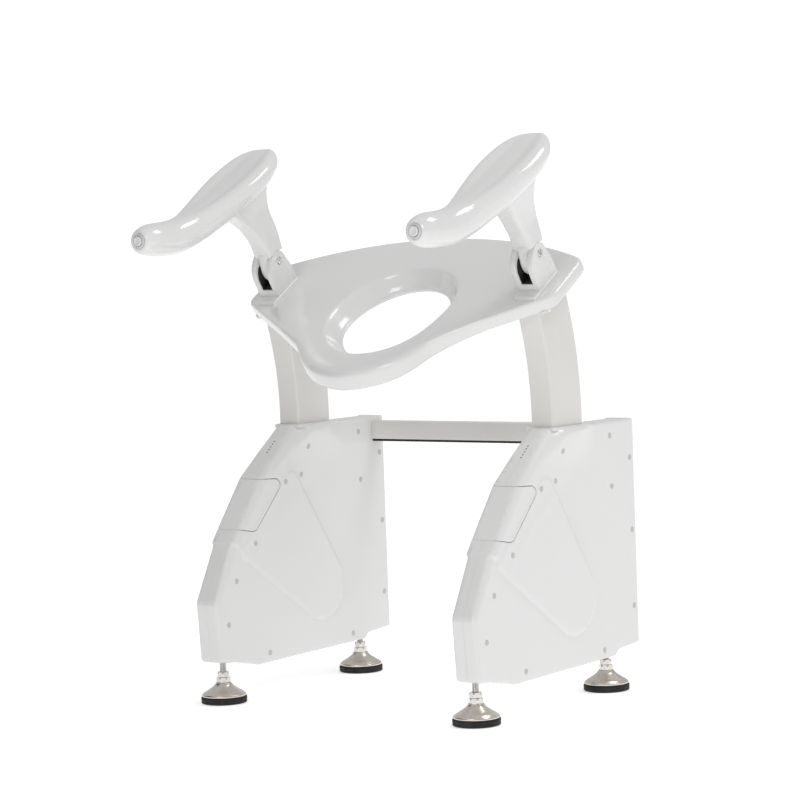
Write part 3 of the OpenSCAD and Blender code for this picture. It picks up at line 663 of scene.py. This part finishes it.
def build_bracket(name, side):
    ear = [pin_point(*p) for p in EAR]
    half, slot_half = 23.0, 12.0
    ob = piece(f"{name}_bracket_body", *prism(ear, BRACKET_X - half, BRACKET_X + half),
               "lift", "bracket_paint", f"{name}_armrest_bracket", side)
    fix_normals(ob)
    slot = [(-80, -41), (13, -41), (15, -39), (15, -19), (17, -17), (80, -17), (80, 80), (-80, 80)]
    slot = [pin_point(*p) for p in slot]
    carve(ob, [prism(slot, BRACKET_X - slot_half, BRACKET_X + slot_half)])
    # Counterbored seats for the pin's screw heads
    ring = [pin_point(*p) for p in arc(0, 0, 7.2, 0, 345, 23)]
    carve(ob, [prism(ring, BRACKET_X - half - 1, BRACKET_X - half + 1.6),
               prism(ring, BRACKET_X + half - 1.6, BRACKET_X + half + 1)])
    bevel(ob, 2.2)
    # Painted shade: thin black sheets on the slot's walls and floor stand in for the deep shade inside the slot
    wall = [pin_point(*q) for q in (
        (-33, -40.6), (12.6, -40.6), (12.6, -17), (8, -8), (-14, 2), (-22, 0), (-29, -8), (-33, -18))]
    shade_sheets = [prism(wall, BRACKET_X + x, BRACKET_X + x + 0.24) for x in (-11.96, 11.72)]
    floor_strip = [pin_point(*q) for q in ((-33, -40.9), (12.6, -40.9), (12.6, -39.6), (-33, -39.6))]
    shade_sheets.append(prism(floor_strip, BRACKET_X - 11.7, BRACKET_X + 11.7))
    fix_normals(piece(f"{name}_slot_shade_sheet", *merge(shade_sheets), "lift", "rubber", side=side))
    for way in (-1, 1):
        build_pin_head(name, side, way, half)
    shaft = [pin_circle(x, 4.95, 40) for x in (-21.4, -10, 10, 21.4)]
    sharp(fix_normals(piece(f"{name}_pin_shaft", *loft(shaft), "lift", "polished_steel", side=side)), 40)


# ---------------------------------------------------------------- lift arms


def plane_angle(r, w):
    """Angle about the lift's centre where radius r meets the seat plane at height w, degrees."""
    lo, hi = 5.0, 27.0

    def over(a):
        y = LIFT_Y + r * math.cos(math.radians(a)) - SEAT_Y
        z = LIFT_Z + r * math.sin(math.radians(a)) - SEAT_Z
        return -y * math.sin(TILT) + z * math.cos(TILT) - w
    for _ in range(40):
        mid = (lo + hi) / 2
        lo, hi = (mid, hi) if over(mid) < 0 else (lo, mid)
    return lo


ARM_FRONT, ARM_REAR, ARM_HALF, ARM_START = 552.0, 645.0, 23.0, -14.0


def arm_point(x, radius, a):
    """A point of the arm: across, out from the lift's centre, and round it in radians."""
    return (COLUMN_X + x, LIFT_Y + radius * math.cos(a), LIFT_Z + radius * math.sin(a))


def build_arm_tube(name, side):
    wall, steps = 3.5, 72
    section = rounded_box(-ARM_HALF, ARM_HALF, ARM_FRONT, ARM_REAR, 4.5)
    # Channel of the rack in the rear face, after the first corner
    half_channel = [(10.0, ARM_REAR), (9.2, ARM_REAR - 0.8), (9.0, ARM_REAR - 9.6)]
    section[7:7] = half_channel + [(-x, radius) for x, radius in half_channel[::-1]]
    rings = []
    for k in range(steps + 1):
        ring = []
        for x, radius in section:
            end = plane_angle(radius, -5.5)
            a = math.radians(ARM_START + (end - ARM_START) * (k / steps))
            ring.append(arm_point(x, radius, a))
        rings.append(ring)
    n = len(section)
    verts, faces = skin(rings)
    # The lower end is open: a wall turned inwards shows the tube's thickness
    inner = [(x * (ARM_HALF - wall) / ARM_HALF if abs(x) > 9.5 else x,
              min(max(radius, ARM_FRONT + wall), ARM_REAR - 14)) for x, radius in section]
    base = len(verts)
    for depth in (0, 0.1):
        verts += [arm_point(x, radius, math.radians(ARM_START) + depth) for x, radius in inner]
    for k in range(n):
        kn = (k + 1) % n
        faces.append((kn, k, base + k, base + kn))
        faces.append((base + kn, base + k, base + n + k, base + n + kn))
    faces.append(tuple(base + n + k for k in range(n)))
    arm = piece(f"{name}_arm_tube", verts, faces, "lift", "painted_arm", f"{name}_lift_arm", side)
    sharp(fix_normals(arm), 50)


def build_arm_flange(name, side):
    u, v0, v1, w0, w1, r, chamfer = 40.0, -14.0, 98.0, -6.0, -0.1, 8.0, 1.2
    rings = []
    for inset, w in ((chamfer, w0), (0, w0 + chamfer), (0, w1)):
        outline = rounded_box(-u + inset, u - inset, v0 + inset, v1 - inset, r - inset)
        rings.append([seat_point(COLUMN_X + x, v, w) for x, v in outline])
    sharp(fix_normals(piece(f"{name}_arm_flange", *loft(rings), "lift", "painted_arm", side=side)), 40)


def build_arm_weld(name, side):
    """Weld bead round the tube, under the flange."""
    count = 160
    corners = [(ARM_HALF, ARM_FRONT), (ARM_HALF, ARM_REAR), (-ARM_HALF, ARM_REAR), (-ARM_HALF, ARM_FRONT)]
    down = np.array(seat_point(0, 0, -1)) - np.array(seat_point(0, 0, 0))
    bead = []
    for k in range(count):
        q, t = divmod(k / count * 4, 1)
        q = int(q)
        (xa, ra), (xb, rb) = corners[q], corners[(q + 1) % 4]
        x, radius = xa + (xb - xa) * t, ra + (rb - ra) * t
        a = math.radians(plane_angle(radius, -6.4))
        across, outward_share = ((1, 0), (0, 1), (-1, 0), (0, -1))[q]
        out = np.array((across, outward_share * math.cos(a), outward_share * math.sin(a)))
        size = 0.9 * (3.2 + 0.35 * math.sin(k * 1.9))
        bead.append([tuple(arm_point(x, radius, a) + out * size * c + down * size * s) for c, s in turns(10)])
    bead.append(bead[0])
    fix_normals(piece(f"{name}_arm_weld", *skin(bead), "lift", "painted_arm", side=side))


# ---------------------------------------------------------------- columns

KNEE, LEDGE, SEAM, TOP = (-36.0, 182.0), (18.0, 284.0), (100.0, 393.0), (206.0, 481.0)
# Side-view outline: y, z, radius of the outline's corner, radius of the long edge
OUTLINE = [
    (-27, 74, 9, 7), (*KNEE, 26, 9), (15.2, 280.6, 1.2, 11), (16.6, 285.2, 1.2, 11), (*SEAM, 60, 12),
    (*TOP, 7, 19),
    (330, 481, 1.5, 3), (331.5, 479.6, 1.5, 3), (452, 479.6, 1.5, 3), (456, 481, 1.5, 3), (467, 481, 4, 3),
    (467, 79, 4, 3), (400, 74, 5, 3), (389, 64, 6, 3), (75, 58, 6, 3), (47, 68, 6, 3),
]
# Side-view outlines of the battery door and the raised bulge, and places of the cover screws
DOOR = [(-10, 314), (66, 300), (76, 302), (146, 372), (148, 382), (138, 389), (60, 393), (20, 395)]
BULGE = [(178, 372, 24), (262, 182, 60), (46, 268, 10)]
SCREWS = [(230, 440), (212, 390), (163, 381), (390, 455), (453, 411), (392, 365), (72, 278), (21, 215),
          (-5, 140), (107, 76), (352, 79), (454, 282), (453, 146)]


def rounded(poly, spacing=5.0):
    """Rounds a closed polyline's corners and samples it. Returns points and edge radii."""
    pts, rad = [], []
    n = len(poly)
    for i, (y, z, rc, re) in enumerate(poly):
        p = np.array((y, z), float)
        a = np.array(poly[i - 1][:2], float)
        b = np.array(poly[(i + 1) % n][:2], float)
        u, v = (a - p) / np.linalg.norm(a - p), (b - p) / np.linalg.norm(b - p)
        ang = math.acos(float(np.clip(u @ v, -1, 1)))
        cut = min(rc / math.tan(ang / 2), 0.45 * np.linalg.norm(a - p), 0.45 * np.linalg.norm(b - p))
        k = max(3, int(rc / 2))
        for t in np.linspace(0, 1, k):
            q = (1 - t) ** 2 * (p + u * cut) + 2 * t * (1 - t) * p + t * t * (p + v * cut)
            pts.append(q)
            rad.append(re)
    pts, rad = np.array(pts), np.array(rad, float)
    out, outr = [], []
    for i in range(len(pts)):
        a, b = pts[i], pts[(i + 1) % len(pts)]
        m = max(1, int(np.linalg.norm(b - a) / spacing))
        for k in range(m):
            out.append(a + (b - a) * k / m)
            outr.append(rad[i] + (rad[(i + 1) % len(pts)] - rad[i]) * k / m)
    return np.array(out), np.array(outr)


def distance(points, line, closed=True):
    """Distance from each point to a polyline, and the nearest segment with its share."""
    a = line if closed else line[:-1]
    b = np.roll(line, -1, 0) if closed else line[1:]
    ab = b - a
    best = np.full(len(points), 1e9)
    seg = np.zeros(len(points), int)
    share = np.zeros(len(points))
    for k in range(len(a)):
        t = np.clip(((points - a[k]) @ ab[k]) / max(ab[k] @ ab[k], 1e-12), 0, 1)
        d = np.linalg.norm(points - (a[k] + t[:, None] * ab[k]), axis=1)
        m = d < best
        best[m], seg[m], share[m] = d[m], k, t[m]
    return best, seg, share


def inside(points, poly):
    x, y = points[:, 0], points[:, 1]
    res = np.zeros(len(points), bool)
    j = len(poly) - 1
    for i in range(len(poly)):
        xi, yi, xj, yj = *poly[i], *poly[j]
        with np.errstate(divide="ignore", invalid="ignore"):
            hit = ((yi > y) != (yj > y)) & (x < (xj - xi) * (y - yi) / (yj - yi + 1e-12) + xi)
        res ^= hit
        j = i
    return res


def hull_of_circles(circles):
    pts = sorted((c[0] + c[2] * math.cos(a), c[1] + c[2] * math.sin(a))
                 for c in circles for a in np.linspace(0, 2 * math.pi, 72, endpoint=False))

    def half(seq):
        h = []
        for p in seq:
            while len(h) > 1 and ((h[-1][0] - h[-2][0]) * (p[1] - h[-2][1])
                                  - (h[-1][1] - h[-2][1]) * (p[0] - h[-2][0])) <= 0:
                h.pop()
            h.append(p)
        return h[:-1]
    return np.array(half(pts) + half(pts[::-1]))


BULGE_LINE = hull_of_circles(BULGE)
EDGE_LINE, EDGE_RADII = rounded(OUTLINE)
DOOR_LINE, _ = rounded([(y, z, 9 if 1 < k < 6 else 3, 1) for k, (y, z) in enumerate(DOOR)], 3.0)


def front_place(points):
    """Share of the way up the sloping front, and distance behind it."""
    ledge, seam, top = np.array(LEDGE), np.array(SEAM), np.array(TOP)
    line = np.array([np.array(KNEE), ledge, seam, top, top + (0.6, 60.0)])
    d, seg, t = distance(points, line, closed=False)
    return seg + t, d


def half_width(points):
    """Half the column's width at side-view points, with all its soft forms."""
    d, seg, share = distance(points, EDGE_LINE)
    r = EDGE_RADII[seg] * (1 - share) + EDGE_RADII[(seg + 1) % len(EDGE_RADII)] * share
    s, behind = front_place(points)
    # Wider from the ledge upwards, where the door and the nose are
    wide = 4.6 * smoothstep(0.93, 1.03, s) * (1 - smoothstep(2.35, 2.95, s) * 0.5)
    reach = 52 + 26 * smoothstep(1.0, 2.6, s)
    wide = wide * (1 - smoothstep(reach * 0.62, reach * 1.35, behind))
    # Collar round the arm: out to the sides behind a shallow valley beside the nose
    up = smoothstep(2.15, 2.98, s) * smoothstep(408, 478, points[:, 1])
    collar = 11.5 * up * smoothstep(5, 30, behind) * (1 - smoothstep(276, 348, points[:, 0]))
    bd, _, _ = distance(points, BULGE_LINE)
    bd = np.where(inside(points, BULGE_LINE), -bd, bd)
    bulge = 5.0 * (1 - smoothstep(-1.0, 6.5, bd)) * (1 - 0.85 * smoothstep(0, 4.6, wide))
    h = 26.0 + wide + collar + bulge
    k = np.clip(1 - d / np.maximum(r, 0.1), 0, 1)
    return h - r + r * np.sqrt(np.maximum(0, 1 - k * k))


def crossings(line, poly):
    """Where the closed edge line crosses a closed polygon: (segment, share) pairs."""
    hits = []
    for i in range(len(line)):
        a, b = line[i], line[(i + 1) % len(line)]
        for j in range(len(poly)):
            c, d = poly[j], poly[(j + 1) % len(poly)]
            den = (b[0] - a[0]) * (d[1] - c[1]) - (b[1] - a[1]) * (d[0] - c[0])
            if abs(den) < 1e-9:
                continue
            t = ((c[0] - a[0]) * (d[1] - c[1]) - (c[1] - a[1]) * (d[0] - c[0])) / den
            u = ((c[0] - a[0]) * (b[1] - a[1]) - (c[1] - a[1]) * (b[0] - a[0])) / den
            if 0 <= t < 1 and 0 <= u < 1:
                hits.append((i, t))
    return hits


def offset_poly(poly, d):
    """Moves a closed polygon's points along its outward normal."""
    area = 0.5 * np.sum(poly[:, 0] * np.roll(poly[:, 1], -1) - poly[:, 1] * np.roll(poly[:, 0], -1))
    t = np.roll(poly, -1, 0) - np.roll(poly, 1, 0)
    t = t / np.linalg.norm(t, axis=1)[:, None]
    n = np.stack([t[:, 1], -t[:, 0]], 1) * (1 if area > 0 else -1)
    return poly + n * d


def resampled(poly, spacing):
    """The same closed polyline with evenly spaced points."""
    closed = np.vstack([poly, poly[:1]])
    run = np.concatenate([[0], np.cumsum(np.linalg.norm(np.diff(closed, axis=0), axis=1))])
    at = np.linspace(0, run[-1], int(run[-1] / spacing), endpoint=False)
    return np.stack([np.interp(at, run, closed[:, 0]), np.interp(at, run, closed[:, 1])], 1)


GAP = 0.4


def column_surface():
    """Triangulated side-view sheet of a column's half: points, triangles, masks."""
    edge, radii = EDGE_LINE.copy(), EDGE_RADII.copy()
    seams = [offset_poly(DOOR_LINE, k) for k in (-GAP - 1.0, -GAP, GAP, GAP + 1.0)]
    seams += [resampled(offset_poly(BULGE_LINE, k), 3.5) for k in (-1.0, 1.0, 2.8, 4.7, 6.5)]
    extra = []
    for poly in seams:
        extra += crossings(edge, poly)
    for i, t in sorted(extra, reverse=True):
        p = edge[i] * (1 - t) + edge[(i + 1) % len(edge)] * t
        edge = np.insert(edge, i + 1, p, 0)
        radii = np.insert(radii, i + 1, radii[i])
    area = np.sum(edge[:, 0] * np.roll(edge[:, 1], -1) - edge[:, 1] * np.roll(edge[:, 0], -1))
    t = np.roll(edge, -1, 0) - np.roll(edge, 1, 0)
    t /= np.linalg.norm(t, axis=1)[:, None]
    inward = np.stack([-t[:, 1], t[:, 0]], 1) * (1 if area > 0 else -1)
    pts, cons = list(map(tuple, edge)), [(k, (k + 1) % len(edge)) for k in range(len(edge))]
    guard = [edge]
    for a in (12, 27, 42, 57, 74, 90):
        ring = edge + inward * (radii * (1 - math.cos(math.radians(a))))[:, None]
        d, _, _ = distance(ring, edge)
        ring = ring[d > 0.9 * radii * (1 - math.cos(math.radians(a)))]
        guard.append(ring)
        pts += list(map(tuple, ring))
    for poly in seams:
        keep = inside(poly, edge)
        idx = {}
        for k in range(len(poly)):
            if keep[k]:
                idx[k] = len(pts)
                pts.append(tuple(poly[k]))
        cross = crossings(edge, poly)
        for k in idx:
            if (k + 1) % len(poly) in idx:
                cons.append((idx[k], idx[(k + 1) % len(poly)]))
        # Tie the ends to the edge where the seam leaves the outline
        for k in idx:
            for near in ((k - 1) % len(poly), (k + 1) % len(poly)):
                if near not in idx:
                    c = [edge[i] * (1 - t) + edge[(i + 1) % len(edge)] * t for i, t in cross]
                    c = min(c, key=lambda q: np.linalg.norm(q - poly[k]))
                    j = int(np.argmin(np.linalg.norm(edge - c, axis=1)))
                    cons.append((idx[k], j))
        guard.append(poly[keep])
    step = 4.2
    ys = np.arange(-40, 470, step)
    grid = np.array([(y + (step / 2 if r % 2 else 0), z)
                     for r, z in enumerate(np.arange(58, 484, step * 0.87)) for y in ys])
    grid = grid[inside(grid, edge)]
    for g in guard:
        if len(g):
            d = np.full(len(grid), 1e9)
            for k in range(0, len(g), 64):
                d = np.minimum(d, np.linalg.norm(grid[:, None] - g[None, k:k + 64], axis=2).min(1))
            grid = grid[d > 1.5]
    pts += list(map(tuple, grid))
    out = geometry.delaunay_2d_cdt([Vector(p) for p in pts], cons, [], 0, 1e-5)
    verts = np.array([tuple(v) for v in out[0]])
    tris = np.array([tuple(f) for f in out[2]])
    mid = verts[tris].mean(1)
    tris = tris[inside(mid, edge)]
    return verts, tris, edge, seams


SHEET = column_surface()


def build_column(name, side):
    verts, tris, edge, seams = SHEET
    door_line, cover_line = seams[1], seams[2]
    half = half_width(verts)
    seam_d = np.minimum(distance(verts, door_line)[0], distance(verts, cover_line)[0])
    half = half - 0.45 * np.clip(1 - seam_d / 1.0, 0, 1) ** 2
    mid = verts[tris].mean(1)
    in_door = inside(mid, door_line)
    in_cover = ~inside(mid, cover_line)
    emid = (edge + np.roll(edge, -1, 0)) / 2
    edge_in_door = inside(emid, door_line)
    edge_in_cover = ~inside(emid, cover_line)
    # Opening of the top for the cap round the arm
    slot = (emid[:, 0] > 210) & (emid[:, 0] < 316) & (emid[:, 1] > 470)
    edge_index = [int(np.argmin(np.abs(verts - e).sum(1))) for e in edge]

    def assemble(face_mask, edge_mask, ways):
        """One shell: the panels on the given sides and the wall round the outline's edge."""
        vs, fs = [], []
        centre = {}
        for way in ways:
            remap = {}

            def vertex(k):
                if k not in remap:
                    remap[k] = len(vs)
                    vs.append((COLUMN_X + way * half[k], verts[k][0], verts[k][1]))
                return remap[k]
            for a, b, c in tris[face_mask]:
                q = [vertex(a), vertex(b), vertex(c)]
                fs.append(tuple(q if way > 0 else q[::-1]))
            wall = {}

            def across(j, share):
                """Point of the wall round the edge, from the middle plane out to the panel."""
                if share == 1:
                    return vertex(edge_index[j])
                both = len(ways) == 2 and share == 0
                store = centre if both else wall
                if (j, share) not in store:
                    store[j, share] = len(vs)
                    x = 0.0 if both else way * (0.15 + (half[edge_index[j]] - 0.15) * share)
                    vs.append((COLUMN_X + x, edge[j][0], edge[j][1]))
                return store[j, share]
            for j in np.nonzero(edge_mask)[0]:
                jn = (j + 1) % len(edge)
                shares = (0.955, 1) if slot[j] else (0, 0.03, 0.33, 0.66, 1)
                for s0, s1 in zip(shares, shares[1:]):
                    q = [across(j, s0), across(j, s1), across(jn, s1), across(jn, s0)]
                    if len(set(q)) > 2:
                        fs.append(tuple(q))
        return vs, fs

    def shell(label, mask, emask, ways, body, node):
        vs, fs = assemble(mask, emask, ways)
        ob = fix_normals(piece(f"{name}_{label}", vs, fs, body, "cover_gloss", node, side))
        s = ob.modifiers.new("wall", "SOLIDIFY")
        s.thickness, s.offset, s.use_rim = 2.2 * MM, -1, True
        outward(ob, side)
    shell("outer_cover_shell", in_cover, edge_in_cover, (1,), "base", f"{name}_outer_cover")
    shell("inner_cover_shell", in_cover, edge_in_cover, (-1,), "base", f"{name}_inner_cover")
    shell("door_shell", in_door, edge_in_door, (1, -1), f"{name} battery door", f"{name}_battery_door")
    build_cap(name, side)
    build_trim(name, side)


def outward(ob, side):
    """Turns the open shell's faces away from the column's middle."""
    me = ob.data
    middle = Vector((side * COLUMN_X, 230 + SHIFT, 280)) * MM
    if sum((p.center - middle).dot(p.normal) * p.area for p in me.polygons) < 0:
        me.flip_normals()


def build_cap(name, side):
    """The top cap round the arm, with its slot and a raised lip."""
    low, shoulder, top = 475.4, 481.0, 481.8
    rings = []
    # Up the slot's wall, over the lip and down the outside: front, rear, half width, corner, height
    for y0, y1, h, r, z in ((216.0, 310.6, 23.6, 3, low), (216.0, 310.6, 23.6, 3, shoulder),
                            (215.2, 311.4, 24.4, 3.4, top), (211.2, 314.8, 28.8, 3.4, top),
                            (210.4, 315.6, 29.6, 3, shoulder), (210.4, 315.6, 29.6, 3, low)):
        rings.append([(COLUMN_X + x, y, z) for x, y in rounded_box(-h, h, y0, y1, r)])
    cap = piece(f"{name}_cap_ring", *loft_loop(rings), "base", "cover_gloss", f"{name}_top_cap", side)
    sharp(fix_normals(cap), 50)


def dome(centre, normal, r, high, sides=28):
    """A shallow round cap on a surface: rings from the rim to the middle."""
    n = Vector(normal).normalized()
    u = n.orthogonal().normalized()
    v = n.cross(u)
    profile = ((1.0, -2.0), (1.0, high * 0.35), (0.93, high * 0.8), (0.8, high), (0.55, high * 0.95),
               (0.1, high * 0.8))
    return loft([[tuple(Vector(centre) + (u * c + v * s) * r * k + n * h) for c, s in turns(sides)]
                 for k, h in profile])


def build_trim(name, side):
    """Screw caps square to the covers' surface, and the five indicator lights on the nose."""
    parts = []
    at = np.array(SCREWS, float)
    e = 2.0
    slope_y = (half_width(at + (e, 0)) - half_width(at - (e, 0))) / (2 * e)
    slope_z = (half_width(at + (0, e)) - half_width(at - (0, e))) / (2 * e)
    for (y, z), hw, dy, dz in zip(SCREWS, half_width(at), slope_y, slope_z):
        for way in (-1, 1):
            parts.append(dome((COLUMN_X + way * hw, y, z), (way, -dy, -dz), 5.0, 0.7))
    fix_normals(piece(f"{name}_screw_plugs", *merge(parts), "base", "screw_cap_grey",
                      f"{name}_cover_screws", side))
    run = np.array(TOP) - np.array(SEAM)
    run /= np.linalg.norm(run)
    parts = []
    for k in range(5):
        p = np.array(SEAM) + run * (66 + 7 * k)
        parts.append(dome((COLUMN_X, p[0], p[1]), (0, -run[1], run[0]), 1.5, 0.35, 20))
    fix_normals(piece(f"{name}_light_lenses", *merge(parts), "base", "indicator_lens",
                      f"{name}_indicator_lights", side))


# ---------------------------------------------------------------- crossbar and feet


def build_crossbar():
    lo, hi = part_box("crossbar")
    y0, y1 = lo.y / MM - SHIFT, hi.y / MM - SHIFT
    z0, z1, x = lo.z / MM, hi.z / MM, hi.x / MM
    ring = rounded_box(y0, y1, z0, z1, 3.0, 5)
    # The bore shows at the open ends only
    ym, zm = (y0 + y1) / 2, (z0 + z1) / 2
    inner = [((y - ym) * 0.8 + ym, (z - zm) * 0.84 + zm) for y, z in ring]
    stations = [(-0.9 * x, inner), (-x, inner)]
    stations += [(-x + 2 * x * k / 24, ring) for k in range(25)]
    stations += [(x, inner), (0.9 * x, inner)]
    rings = [[(at, y, z) for y, z in outline] for at, outline in stations]
    sharp(fix_normals(piece("crossbar_tube", *loft(rings), "base", "painted_arm", "crossbar")), 50)
    lo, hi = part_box("crossbar_cable_strip")
    y0, y1 = lo.y / MM - SHIFT, hi.y / MM - SHIFT
    z0, z1, x = lo.z / MM, hi.z / MM, hi.x / MM
    c = 1.2
    outline = [(y0, z1), (y0, z0 + c), (y0 + c, z0), (y1 - c, z0), (y1, z0 + c), (y1, z1)]
    rings = [[(-x + 2 * x * k / 16, y, z) for y, z in outline] for k in range(17)]
    sharp(fix_normals(piece("cable_strip_cover", *loft(rings), "base", "rubber", "crossbar_cable_strip")), 50)


def hex_nut(x, y, z0, high, r, bore, turn=0.0):
    """A chamfered hexagon nut round an upright stem."""
    n, z1, chamfer = 72, z0 + high, 0.9
    flat = r * math.cos(math.pi / 6)
    rings = []
    for z, cone in ((z0, 0.80), (z0, 0.93), (z0 + chamfer, 1.03), (z1 - chamfer, 1.03), (z1, 0.93),
                    (z1, 0.80), (z1, 0), (z0, 0)):
        ring = []
        for k in range(n):
            a = 2 * math.pi * k / n
            hexagon = flat / math.cos((a % (math.pi / 3)) - math.pi / 6)
            reach = min(hexagon, r * cone) if cone else bore
            ring.append((x + reach * math.cos(a + turn), y + reach * math.sin(a + turn), z))
        rings.append(ring)
    return loft_loop(rings)


def thread(x, y, z0, z1, r, pitch=1.75, depth=0.75, sides=36):
    """A stem with a real helical thread."""
    per = 8
    count = int((z1 - z0) / pitch * per)
    rings = []
    for i in range(count + 1):
        z = z0 + (z1 - z0) * i / count
        ring = []
        for k in range(sides):
            ph = (z / pitch - k / sides) % 1.0
            rr = r - depth * (1 - abs(2 * ph - 1)) ** 1.3
            a = 2 * math.pi * k / sides
            ring.append((x + rr * math.cos(a), y + rr * math.sin(a), z))
        rings.append(ring)
    return loft(rings)


def build_foot(name, side, end):
    lo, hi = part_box(f"{name}_{end}_foot_pad")
    x = abs(lo.x + hi.x) / 2 / MM
    y = (lo.y + hi.y) / 2 / MM - SHIFT
    body = f"{name} {end} foot"
    tag = f"{name}_{end}_foot"
    r = (hi.x - lo.x) / 2 / MM
    # Rubber shoe with a tread of grooves and a rolled rim
    prof = [(0.5, 0.6), (10, 0.6), (11, 1.6), (13, 1.6), (14, 0), (22, 0), (23, 1.6), (25, 1.6), (26, 0),
            (r - 3.0, 0), (r - 1.2, 0.5), (r - 0.2, 1.8), (r, 3.4), (r - 0.5, 4.6), (r - 0.5, 5.4),
            (r, 6.6), (r, 9.6), (r - 0.4, 11.2), (r - 1.6, 12.0), (r - 2.6, 12.1), (0.5, 12.1)]
    sharp(fix_normals(piece(f"{tag}_shoe", *lathe(prof, x, y), body, "rubber", f"{tag}_pad", side)), 45)
    # Turned steel dish that flares from the stem to the rim
    rim = r - 1.5
    prof = [(0.5, 12.15), (rim - 0.6, 12.15), (rim, 12.8), (rim, 15.0), (rim - 0.5, 16.0), (rim - 1.6, 17.0),
            (rim - 3.2, 17.8), (rim - 3.9, 18.6), (rim - 6, 20.2), (rim - 9, 21.6), (26, 24.6), (20, 28.6),
            (16.6, 31.6), (15.0, 33.6), (14.0, 35.4), (13.2, 36.3), (12.4, 36.5), (6.1, 36.5)]
    sharp(fix_normals(piece(f"{tag}_dish", *lathe(prof, x, y, 128), body, "polished_steel", f"{tag}_base",
                            side, mat=M["turned_steel"])), 55)
    z_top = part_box(f"{tag}_stem")[1].z / MM
    parts = [thread(x, y, 36.0, z_top, 6.0), hex_nut(x, y, 36.6, 8.8, 12.6, 5.6, 0.35),
             hex_nut(x, y, 46.2, 8.6, 11.4, 5.6, 0.9)]
    sharp(fix_normals(piece(f"{tag}_stud", *merge(parts), body, "polished_steel", f"{tag}_stem", side)), 40)


# ---------------------------------------------------------------- build

build_seat()
for label, sgn in SIDES:
    build_plinth(label, sgn)
    build_armrest(label, sgn)
    build_button(label, sgn)
    build_bracket(label, sgn)
    build_arm_tube(label, sgn)
    build_arm_flange(label, sgn)
    build_arm_weld(label, sgn)
    build_column(label, sgn)
    for place in ("front", "rear"):
        build_foot(label, sgn, place)
build_crossbar()

SLOT_OF = {r["node"]: r["material_slot"] for r in frame["record"]["subparts"]}
for node, ob in frame["nodes"].items():
    if not ob.hide_render:
        ob.data.materials.clear()
        ob.data.materials.append(M[SLOT_OF[node]])

# ---------------------------------------------------------------- floor, light and camera

scene = bpy.context.scene


def sheet(name, corners, mat):
    """A flat card of the studio, in metres."""
    me = bpy.data.meshes.new(name)
    me.from_pydata(corners, [], [(0, 1, 2, 3)])
    me.materials.append(mat)
    ob = bpy.data.objects.new(name, me)
    scene.collection.objects.link(ob)


def floor_paper():
    n = Nodes("floor paper")
    paper = n.ramp(n.noise(1.5, 2.0), [(0.3, (0.955, 0.955, 0.955)), (0.7, (0.965, 0.965, 0.965))])
    return n.done(paper, n.scalar(n.noise(3.0), 0.85, 0.95), Specular_IOR_Level=0.1,
                  Emission_Color=(1, 1, 1, 1), Emission_Strength=0.44)


def card_felt():
    n = Nodes("card felt")
    felt = n.ramp(n.noise(20.0), [(0.3, (0.05, 0.05, 0.05)), (0.7, (0.07, 0.07, 0.07))])
    return n.done(felt, n.scalar(n.noise(200.0), 0.85, 0.95))


FAR_OUT, LEVEL = 30.0, -0.0005
square = ((-1, -1), (1, -1), (1, 1), (-1, 1))
sheet("floor", [(x * FAR_OUT, y * FAR_OUT, LEVEL) for x, y in square], floor_paper())

scene.view_settings.view_transform = "Standard"
world = bpy.data.worlds.new("studio")
scene.world = world
world.use_nodes = True
# Soft grey room light; the backdrop itself is seen as plain white
wt = world.node_tree
room = wt.nodes["Background"]
room.inputs["Color"].default_value = (1.0, 1.0, 1.0, 1)
room.inputs["Strength"].default_value = 0.64
backdrop = wt.nodes.new("ShaderNodeBackground")
backdrop.inputs["Color"].default_value = (1.0, 1.0, 1.0, 1)
backdrop.inputs["Strength"].default_value = 1.1
path = wt.nodes.new("ShaderNodeLightPath")
choose = wt.nodes.new("ShaderNodeMixShader")
wt.links.new(path.outputs["Is Camera Ray"], choose.inputs[0])
wt.links.new(room.outputs[0], choose.inputs[1])
wt.links.new(backdrop.outputs[0], choose.inputs[2])
wt.links.new(choose.outputs[0], wt.nodes["World Output"].inputs["Surface"])


def area(name, at, target, size, power):
    """A square soft light that faces its target."""
    d = bpy.data.lights.new(name, "AREA")
    d.energy, d.shape = power, "RECTANGLE"
    d.size = d.size_y = size
    o = bpy.data.objects.new(name, d)
    scene.collection.objects.link(o)
    o.location = at
    o.rotation_euler = (Vector(target) - Vector(at)).to_track_quat("-Z", "Y").to_euler()


area("key softbox", (1.3, 1.0, 3.0), (0, 0, 0.6), 1.0, 17)
area("front softbox", (0.6, -3.3, 1.9), (0, 0, 0.5), 1.0, 15)
area("front left lamp", (-1.2, -2.6, 2.3), (0, 0, 0.6), 0.4, 3)

# A dark card out of view on the left keeps the fronts from going flat
sheet("card", [(-2.6, -0.4, 0.0), (-0.9, -2.6, 0.0), (-0.9, -2.6, 2.2), (-2.6, -0.4, 2.2)], card_felt())

# Camera at the photograph's angle, far back on a long lens
AZ, EL, ROLL = math.radians(36.97), math.radians(3.26), -0.0359
FAR = 5.0737
target = Vector((27.1, 150.0 + SHIFT, 532.1)) * MM
back = Vector((math.sin(AZ) * math.cos(EL), -math.cos(AZ) * math.cos(EL), math.sin(EL)))
fwd = -back
right = fwd.cross(Vector((0, 0, 1))).normalized()
up = right.cross(fwd)
r2 = right * math.cos(ROLL) + up * math.sin(ROLL)
u2 = -right * math.sin(ROLL) + up * math.cos(ROLL)
cam = bpy.data.objects.new("camera", bpy.data.cameras.new("camera"))
scene.collection.objects.link(cam)
cam.data.lens, cam.data.sensor_width = 130.27, 36.0
cam.data.clip_start, cam.data.clip_end = 0.1, 60.0
m = Matrix((r2, u2, back)).transposed().to_4x4()
m.translation = target + back * FAR
cam.matrix_world = m
scene.camera = cam
